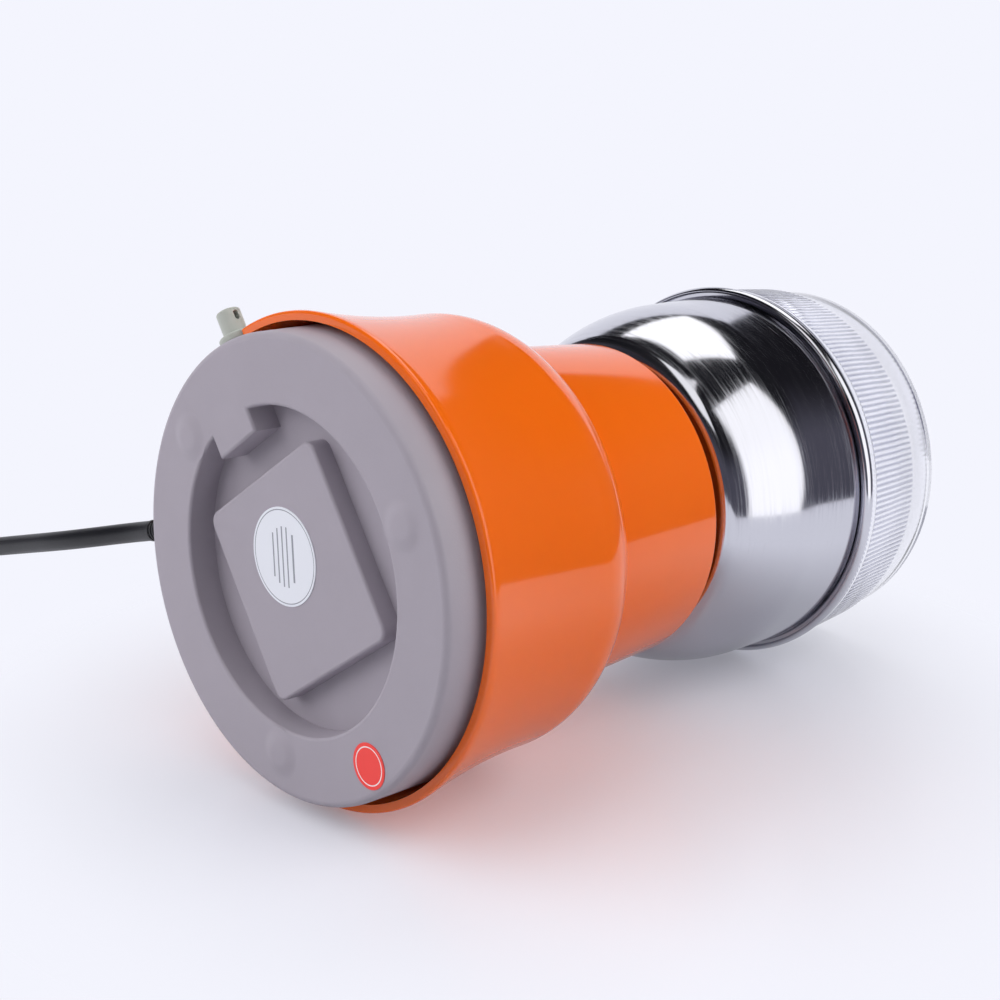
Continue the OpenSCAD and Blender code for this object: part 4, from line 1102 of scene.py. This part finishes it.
@dataclass
class BaseCover:
    """Grey base with its feet, screws, label and sticker.

    Attributes:
        ring_z: height of the ring face.
        pad_z: height of the pad's face.
        recess_r: radius within which the moulded edges are rounded.
        foot_ring: radius on which the feet sit.
        foot_angle: direction of the first foot, in degrees.
        foot_r: radius of a foot's stem.
        foot_top: height of that stem's end.
        crown_r: radius of the flat middle of a foot's dome.
        dome_r: radius of the dome.
        edge: rounding of the moulded edges.
    """

    ring_z: float = 0.6
    pad_z: float = 2.9
    recess_r: float = 36.0
    foot_ring: float = 41.5
    foot_angle: float = 8.0
    foot_r: float = 5.5
    foot_top: float = 1.8
    crown_r: float = 2.0
    dome_r: float = 5.9
    edge: float = 0.7

    def cover(self) -> bpy.types.Object:
        """Round the edges of a copy of the base's solid."""
        bm = bmesh.new()
        bm.from_mesh(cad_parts["base_cover"].data)
        bmesh.ops.remove_doubles(bm, verts=bm.verts[:], dist=2e-6)
        bmesh.ops.dissolve_limit(bm, angle_limit=math.radians(0.5), verts=bm.verts[:], edges=bm.edges[:])
        rounded = [edge for edge in bm.edges if self.is_moulded_edge(edge)]
        bmesh.ops.bevel(
            bm,
            geom=rounded,
            offset=self.edge * MM,
            offset_type="OFFSET",
            segments=4,
            profile=0.5,
            affect="EDGES",
            material=-1,
            clamp_overlap=True,
        )
        self.refill_ring(bm)
        piece = finished(bm, "base_cover_rounded")
        for face in piece.data.polygons:
            face.use_smooth = abs(face.normal.z) < 0.9999
        return dress(piece, Body.HOUSING, Slot.BASE, GREY_ABS, "base_cover")

    def refill_ring(self, bm: bmesh.types.BMesh) -> None:
        """Fill the ring face anew inside its outlines, because a many-sided face with holes shades badly.

        Args:
            bm: the base with rounded edges.
        """
        level = [f for f in bm.faces if all(abs(v.co.z / MM - self.ring_z) < 0.002 for v in f.verts)]
        inside = set(level)
        outline = [e for f in level for e in f.edges if sum(g in inside for g in e.link_faces) == 1]
        bmesh.ops.delete(bm, geom=level, context="FACES_ONLY")
        loose = [e for e in bm.edges if not e.link_faces]
        bmesh.ops.delete(bm, geom=loose, context="EDGES")
        bmesh.ops.triangle_fill(bm, edges=outline, use_beauty=True, normal=(0, 0, -1))
        bmesh.ops.recalc_face_normals(bm, faces=bm.faces[:])

    def is_moulded_edge(self, edge: bmesh.types.BMEdge) -> bool:
        """Tell whether an edge of the solid lies on the rim of the recess, the pad or the tab."""
        if len(edge.link_faces) != 2 or edge.calc_face_angle(0.0) < math.radians(40):
            return False
        heights = [v.co.z / MM for v in edge.verts]
        reach = max(math.hypot(v.co.x, v.co.y) / MM for v in edge.verts)
        levels = (self.ring_z, self.pad_z) if reach < self.recess_r else ()
        return any(all(abs(h - level) < 0.02 for h in heights) for level in levels)

    def feet(self) -> bpy.types.Object:
        """Turn three domed foot pads."""
        steps, slope = 12, self.dome_r - self.crown_r
        rise = [0.5 - 0.5 * math.cos(math.pi * i / steps) for i in range(steps + 1)]
        dome = [(0.0, 0.0)]
        dome += [(self.crown_r + slope * i / steps, (self.ring_z - 0.01) * rise[i]) for i in range(steps + 1)]
        seat = self.ring_z + 0.02
        stem = [(self.dome_r, seat), (self.foot_r, seat), (self.foot_r, self.foot_top), (0.0, self.foot_top)]
        bm = turned(dome + stem, 64)
        first = bm.verts[:] + bm.edges[:] + bm.faces[:]
        bmesh.ops.translate(bm, verts=bm.verts[:], vec=(self.foot_ring * MM, 0, 0))
        for turn in (120, 240):
            copy = bmesh.ops.duplicate(bm, geom=first)["geom"]
            bmesh.ops.rotate(
                bm,
                verts=[v for v in copy if isinstance(v, bmesh.types.BMVert)],
                cent=(0, 0, 0),
                matrix=Matrix.Rotation(math.radians(turn), 3, "Z"),
            )
        bmesh.ops.rotate(
            bm, verts=bm.verts[:], cent=(0, 0, 0), matrix=Matrix.Rotation(math.radians(self.foot_angle), 3, "Z")
        )
        return dress(finished(bm, "foot_pads_domed"), Body.HOUSING, Slot.BASE, GREY_ABS, "foot_pads")

    def build(self) -> None:
        """Make the base and dress its small pieces."""
        self.cover()
        self.feet()
        redress(WHITE_FILM, "rating_label")
        redress(RED_PAPER, "inspection_sticker")
        redress(ZINC_STEEL, "base_screws")


@dataclass
class Housing:
    """Orange housing: flared rim, shoulder, crease and neck, with the deck inside.

    Attributes:
        wall: wall thickness.
        rim_z: height of the rim's bottom edge.
        rim_r: radius of the rim.
        band_z: height of the rim's widest band.
        body_r: radius below the shoulder.
        shoulder_z: height at which the shoulder starts.
        rim_round: rounding of the rim's edge.
        shoulder_round: rounding of the shoulder.
        crease_round: rounding of the crease.
        neck_low_r: radius of the neck at the crease.
        neck_r: radius of the neck's top.
        neck_z: height of the neck's top.
        neck_round: rounding of the neck's edge.
        deck_z: height of the deck's underside.
        deck_top: height of the deck's top.
        deck_r: radius at which the deck's underside meets the wall.
        bush_r: radius of the hole for the bush.
        button_notch: inner end and radius of the notch for the button's guide.
        cord_notch: inner end and radius of the notch for the cord's gland.
        notch_out: distance from the axis at which both notches end.
    """

    wall: float = 2.0
    rim_z: float = 9.4
    rim_r: float = 54.3
    band_z: float = 10.6
    body_r: float = 50.0
    shoulder_z: float = 46.4
    rim_round: float = 0.6
    shoulder_round: float = 14.0
    crease_round: float = 2.5
    neck_low_r: float = 40.5
    neck_r: float = 38.1
    neck_z: float = 95.0
    neck_round: float = 0.9
    deck_z: float = 83.8
    deck_top: float = 87.3
    deck_r: float = 36.7
    bush_r: float = 6.1
    button_notch: tuple[float, float] = (50.8, 4.65)
    cord_notch: tuple[float, float] = (47.6, 4.1)
    notch_out: float = 60.0

    def side(self, inset: float) -> Profile:
        """Give the side's profile from the rim to the crease, moved inwards.

        Args:
            inset: distance from the outer face.

        Returns:
            The profile, upwards.
        """
        rise = self.shoulder_z - self.band_z
        flare = [
            (self.body_r + (self.rim_r - self.body_r) * (1 - i / 24) ** 1.9 - inset, self.band_z + rise * i / 24)
            for i in range(24)
        ]
        shoulder_centre = (self.body_r - self.shoulder_round, self.shoulder_z)
        both = self.shoulder_round + self.crease_round
        lean = math.acos((self.neck_low_r + self.crease_round - shoulder_centre[0]) / both)
        crease_centre = (
            self.neck_low_r + self.crease_round,
            self.shoulder_z + both * math.sin(lean),
        )
        lean = math.degrees(lean)
        return (
            flare
            + arc(shoulder_centre, self.shoulder_round - inset, 0, lean, 28)
            + arc(crease_centre, self.crease_round + inset, 180 + lean, 180, 10)
        )

    def shell(self) -> bpy.types.Object:
        """Spin the housing and cut the notches for the button and the cord."""
        mouth = [(37.0, self.neck_z), (35.6, 92.6), (34.0, 90.2), (32.0, self.deck_top)]
        rim, top = self.rim_round, self.neck_round
        outside = arc((self.rim_r - rim, self.rim_z + rim), rim, -90, 0, 5) + self.side(0)
        neck = arc((self.neck_r - top, self.neck_z - top), top, 0, 90, 6)
        deck = [(self.bush_r, self.deck_top), (self.bush_r, self.deck_z), (self.deck_r, self.deck_z)]
        inside = self.side(self.wall)[::-1]
        profile = [(self.rim_r - self.wall, self.rim_z)] + outside + neck + mouth + deck + inside
        shell = finished(turned(profile, 192), "housing_shell_spun")
        carved(shell, self.notches())
        return dress(shell, Body.HOUSING, Slot.SHELL, ORANGE_ABS, "housing_shell")

    def notches(self) -> list[bpy.types.Object]:
        """Make the bars that cut the notches for the button's guide and the cord's gland."""
        start, radius = self.button_notch
        button = rod((0, -start, PushButton.height), (0, -self.notch_out, PushButton.height), radius)
        start, radius = self.cord_notch
        turn = Matrix.Rotation(math.radians(CordSet.heading), 3, "Z")
        ends = [tuple(turn @ Vector((reach, CordSet.offset, CordSet.exit_z))) for reach in (start, self.notch_out)]
        return [button, rod(*ends, radius)]

    def build(self) -> None:
        """Make the housing."""
        self.shell()


@dataclass
class PushButton:
    """Push button with its flanged guide, spring and switch.

    Attributes:
        height: height of the button's axis.
        radius: radius of the button.
        guide_r: radius of the guide's barrel.
        flange_r: radius of the guide's flange.
        guide_in: inner end of the guide, from the axis.
        flange_in: inner face of the flange.
        guide_face: outer face of the flange.
        tip: end of the button.
        collar_in: inner face of the button's collar.
        collar_r: radius of that collar.
    """

    height: float = 10.9
    radius: float = 2.75
    guide_r: float = 3.65
    flange_r: float = 4.15
    guide_in: float = 46.8
    flange_in: float = 52.7
    guide_face: float = 54.4
    tip: float = 60.3
    collar_in: float = 45.6
    collar_r: float = 3.45

    def aimed(self, bm: bmesh.types.BMesh, name: str) -> bpy.types.Object:
        """Lay a piece turned about Z along the button's line.

        Args:
            bm: the turned shape, its height being the distance from the axis.
            name: name of the piece.

        Returns:
            The piece.
        """
        lay = Matrix.Translation((0, 0, self.height * MM)) @ Matrix.Rotation(math.radians(90), 4, "X")
        bmesh.ops.transform(bm, matrix=lay, verts=bm.verts[:])
        return finished(bm, name)

    def plunger(self) -> bpy.types.Object:
        """Turn the button and drill its cross hole."""
        profile = [
            (0, self.collar_in), (self.collar_r, self.collar_in), (self.collar_r, self.guide_in),
            (self.radius, self.guide_in), (self.radius, self.tip), (0, self.tip),
        ]
        button = self.aimed(turned(profile, 72, {1: 0.2, 4: 0.5}), "push_button")
        holes = [self.tip - 1.5 - step for step in (0.0, 0.5, 1.0)]
        carved(button, [rod((-5, -hole, self.height), (5, -hole, self.height), 0.62) for hole in holes])
        return dress(button, Body.BUTTON, Slot.BUTTON, MILKY_PP, "button_plunger")

    def guide(self) -> bpy.types.Object:
        """Turn the guide with its flange."""
        bore = self.radius + 0.03
        profile = [
            (bore, self.guide_in), (self.guide_r, self.guide_in), (self.guide_r, self.flange_in),
            (self.flange_r, self.flange_in), (self.flange_r, self.guide_face), (bore, self.guide_face),
        ]
        guide = self.aimed(turned(profile, 72, {3: 0.3, 4: 0.45}), "button_guide_turned")
        return dress(guide, Body.HOUSING, Slot.BUTTON, MILKY_PP, "button_guide")

    def build(self) -> None:
        """Make the button and dress the switch behind it."""
        self.plunger()
        self.guide()
        redress(GROUND_STEEL, "button_spring")
        redress(BLACK_NYLON, "switch_body")
        redress(RED_ACETAL, "switch_plunger")


@dataclass
class GrindingBowl:
    """Stainless bowl with its rolled lip, and the blade in it.

    Attributes:
        radius: outer radius of the upright wall.
        wall: sheet thickness.
        curve_r: radius of the curve that draws the bowl in.
        turn_r: radius of the tighter turn where it enters the neck.
        turn_start: slope at which that turn starts, in degrees.
        turn_stop: slope at which it ends.
        shelf: length of the cone below that turn.
        floor_z: height of the floor's underside.
        floor_r: radius of the floor.
        equator_z: height at which the curve meets the upright wall.
        lip_r: outer radius of the rolled lip.
        lip_top: height of the lip's top.
        bush_r: radius of the hole for the bush.
    """

    radius: float = 45.0
    wall: float = 0.8
    curve_r: float = 51.2
    turn_r: float = 4.0
    turn_start: float = 27.0
    turn_stop: float = 66.0
    shelf: float = 4.5
    floor_z: float = 88.8
    floor_r: float = 31.0
    equator_z: float = 123.4
    lip_r: float = 47.5
    lip_top: float = 141.95
    bush_r: float = 6.1

    def curve(self, inset: float, floor: float) -> Profile:
        """Give the drawn-in curve from a floor up to the upright wall.

        Args:
            inset: distance inwards from the outer face.
            floor: height at which the curve starts.

        Returns:
            The profile, upwards.
        """
        middle = (self.radius - self.curve_r, self.equator_z)
        slope, gap = math.radians(self.turn_start), self.curve_r - self.turn_r
        corner = (middle[0] + gap * math.cos(slope), middle[1] - gap * math.sin(slope))
        turn = arc(corner, self.turn_r - inset, -self.turn_stop, -self.turn_start, 20)
        stop = math.radians(self.turn_stop)
        shelf = (turn[0][0] - self.shelf * math.sin(stop), turn[0][1] - self.shelf * math.cos(stop))
        upper = arc(middle, self.curve_r - inset, -self.turn_start, 0, 36)[1:]
        return [(self.floor_r - inset, floor), shelf] + turn + upper

    def lip(self) -> Profile:
        """Give the rolled lip from the groove under it, over its broad face and top, to the inner wall."""
        face_r, under_r, edge_r, roll_r = 2.6, 0.5, 0.6, 0.8
        start, stop = -35, 8
        broad = (self.lip_r - face_r, self.lip_top - 0.88)
        low, high = math.radians(start), math.radians(stop)
        under = (broad[0] + (face_r - under_r) * math.cos(low), broad[1] + (face_r - under_r) * math.sin(low))
        over = (broad[0] + (face_r - edge_r) * math.cos(high), broad[1] + (face_r - edge_r) * math.sin(high))
        groove = [(0, 3.8), (0.05, 3.4), (0.15, 2.9), (0.3, 2.4), (0.3, 1.3), (1.05, 1.3), (1.1, 1.8)]
        back = (self.radius - self.wall + roll_r, self.lip_top - roll_r)
        return (
            [(self.radius + out, self.lip_top - down) for out, down in groove]
            + arc(under, under_r, -175, start, 12)
            + arc(broad, face_r, start, stop, 12)[1:]
            + arc(over, edge_r, stop, 90, 8)[1:]
            + arc(back, roll_r, 90, 180, 8)
        )

    def bowl(self) -> bpy.types.Object:
        """Spin the bowl."""
        profile = (
            [(self.bush_r, self.floor_z)]
            + self.curve(0, self.floor_z)
            + self.lip()
            + self.curve(self.wall, self.floor_z + self.wall)[::-1]
            + [(self.bush_r, self.floor_z + self.wall)]
        )
        bowl = finished(turned(profile, 224), "grinding_bowl_spun")
        return dress(bowl, Body.HOUSING, Slot.BOWL, BRUSHED_STAINLESS, "grinding_bowl")

    def build(self) -> None:
        """Make the bowl and dress what is in and under it."""
        self.bowl()
        redress(BLACK_RUBBER, "bowl_gasket", "shaft_seal")
        redress(TURNED_BRASS, "shaft_bush")
        redress(ZINC_STEEL, "bush_nut")
        redress(GROUND_STEEL, "blade", "blade_nut")


@dataclass
class Lid:
    """Clear lid with a ribbed grip band.

    Attributes:
        wall: wall thickness.
        top_wall: wall thickness of the cap.
        spigot_r: radius of the spigot that enters the bowl.
        spigot_z: height of the spigot's end.
        seat_z: height of the flange's underside.
        flange_r: radius of the flange.
        grip_z: height of the grip band's lower end.
        grip_r: radius of the band's lower end.
        grip_top_z: height of the band's upper end.
        grip_top_r: radius of the band's upper end.
        top_z: height of the top.
        top_r: radius of the top edge.
        ribs: number of ribs.
        rib_depth: depth of the grooves between them.
    """

    wall: float = 2.0
    top_wall: float = 1.0
    spigot_r: float = 43.85
    spigot_z: float = 136.95
    seat_z: float = 142.05
    flange_r: float = 47.0
    grip_z: float = 144.05
    grip_r: float = 46.6
    grip_top_z: float = 162.1
    grip_top_r: float = 45.1
    top_z: float = 172.6
    top_r: float = 43.4
    ribs: int = 208
    rib_depth: float = 0.16

    def profile(self) -> Profile:
        """Give the closed profile, the band's crests included."""
        outside = [
            (self.spigot_r, self.spigot_z), (self.spigot_r, self.seat_z), (self.flange_r - 0.3, self.seat_z),
            (self.flange_r, self.seat_z + 0.3), (self.flange_r, self.grip_z - 0.3), (self.flange_r - 0.3, self.grip_z),
            (self.grip_r - 0.5, self.grip_z + 0.05), (self.grip_r, self.grip_z + 0.4),
            (self.grip_top_r, self.grip_top_z - 0.4), (self.grip_top_r - 0.5, self.grip_top_z),
        ]
        top = [(self.top_r, self.top_z - 0.5), (self.top_r - 0.15, self.top_z - 0.12), (self.top_r - 0.5, self.top_z)]
        crown = [(0, self.top_z), (0, self.top_z - self.top_wall)]
        inside = [
            (self.top_r - self.top_wall - 0.5, self.top_z - self.top_wall),
            (self.top_r - self.top_wall, self.top_z - self.top_wall - 0.6),
            (self.grip_top_r - self.wall - 0.5, self.grip_top_z - 1.0), (self.spigot_r - self.wall, self.seat_z + 1.5),
            (self.spigot_r - self.wall, self.spigot_z),
        ]
        return outside + top + crown + inside

    def lid(self) -> bpy.types.Object:
        """Spin the lid, press the grooves between the ribs into its band, and mark them for a painted shade."""
        samples = 8
        bm = turned(self.profile(), self.ribs * samples)
        low, high = (self.grip_z + 0.2) * MM, (self.grip_top_z - 0.2) * MM
        inner = (self.grip_top_r - 1.0) * MM
        # The groove layer carries a painted shade: the lid's material tints the marked grooves grey.
        groove_shade_mask = bm.verts.layers.float.new("groove")
        for vert in bm.verts:
            reach = math.hypot(vert.co.x, vert.co.y)
            if low < vert.co.z < high and reach > inner:
                groove = 0.5 - 0.5 * math.cos(math.atan2(vert.co.y, vert.co.x) * self.ribs)
                vert.co.xy *= 1 - self.rib_depth * groove * MM / reach
                vert[groove_shade_mask] = min(1.0, max(0.0, 2 * groove - 0.5))
        lid = finished(bm, "lid_ribbed", 50)
        return dress(lid, Body.LID, Slot.LID, CLEAR_STYRENE, "lid")

    def build(self) -> None:
        """Make the lid."""
        self.lid()


class Motor:
    """Motor under the deck, kept as its solids."""

    def build(self) -> None:
        """Dress the motor's solids."""
        redress(ZINC_STEEL, "motor_top_bracket", "motor_bottom_bracket", "mount_screws", "motor_bolts")
        redress(BLACK_RUBBER, "motor_mounts")
        redress(TURNED_BRASS, "top_bearing", "bottom_bearing")
        redress(STACKED_IRON, "stator_core", "rotor_core")
        redress(WOUND_COPPER, "field_coils", "rotor_windings")
        redress(GROUND_STEEL, "motor_shaft", "brush_springs")
        redress(TURNED_BRASS, "commutator")
        redress(WHITE_NYLON, "cooling_fan")
        redress(BROWN_PHENOLIC, "brush_holders")
        redress(PRESSED_CARBON, "carbon_brushes")


def main() -> None:
    """Build the studio and every sub-assembly, the camera and the cord first."""
    logging.basicConfig(level=logging.INFO, format="%(name)s: %(message)s")
    for part in (Studio(), CordSet(), BaseCover(), Housing(), PushButton(), GrindingBowl(), Lid(), Motor()):
        LOG.info("building %s", type(part).__name__)
        part.build()


if __name__ == "__main__":
    main()
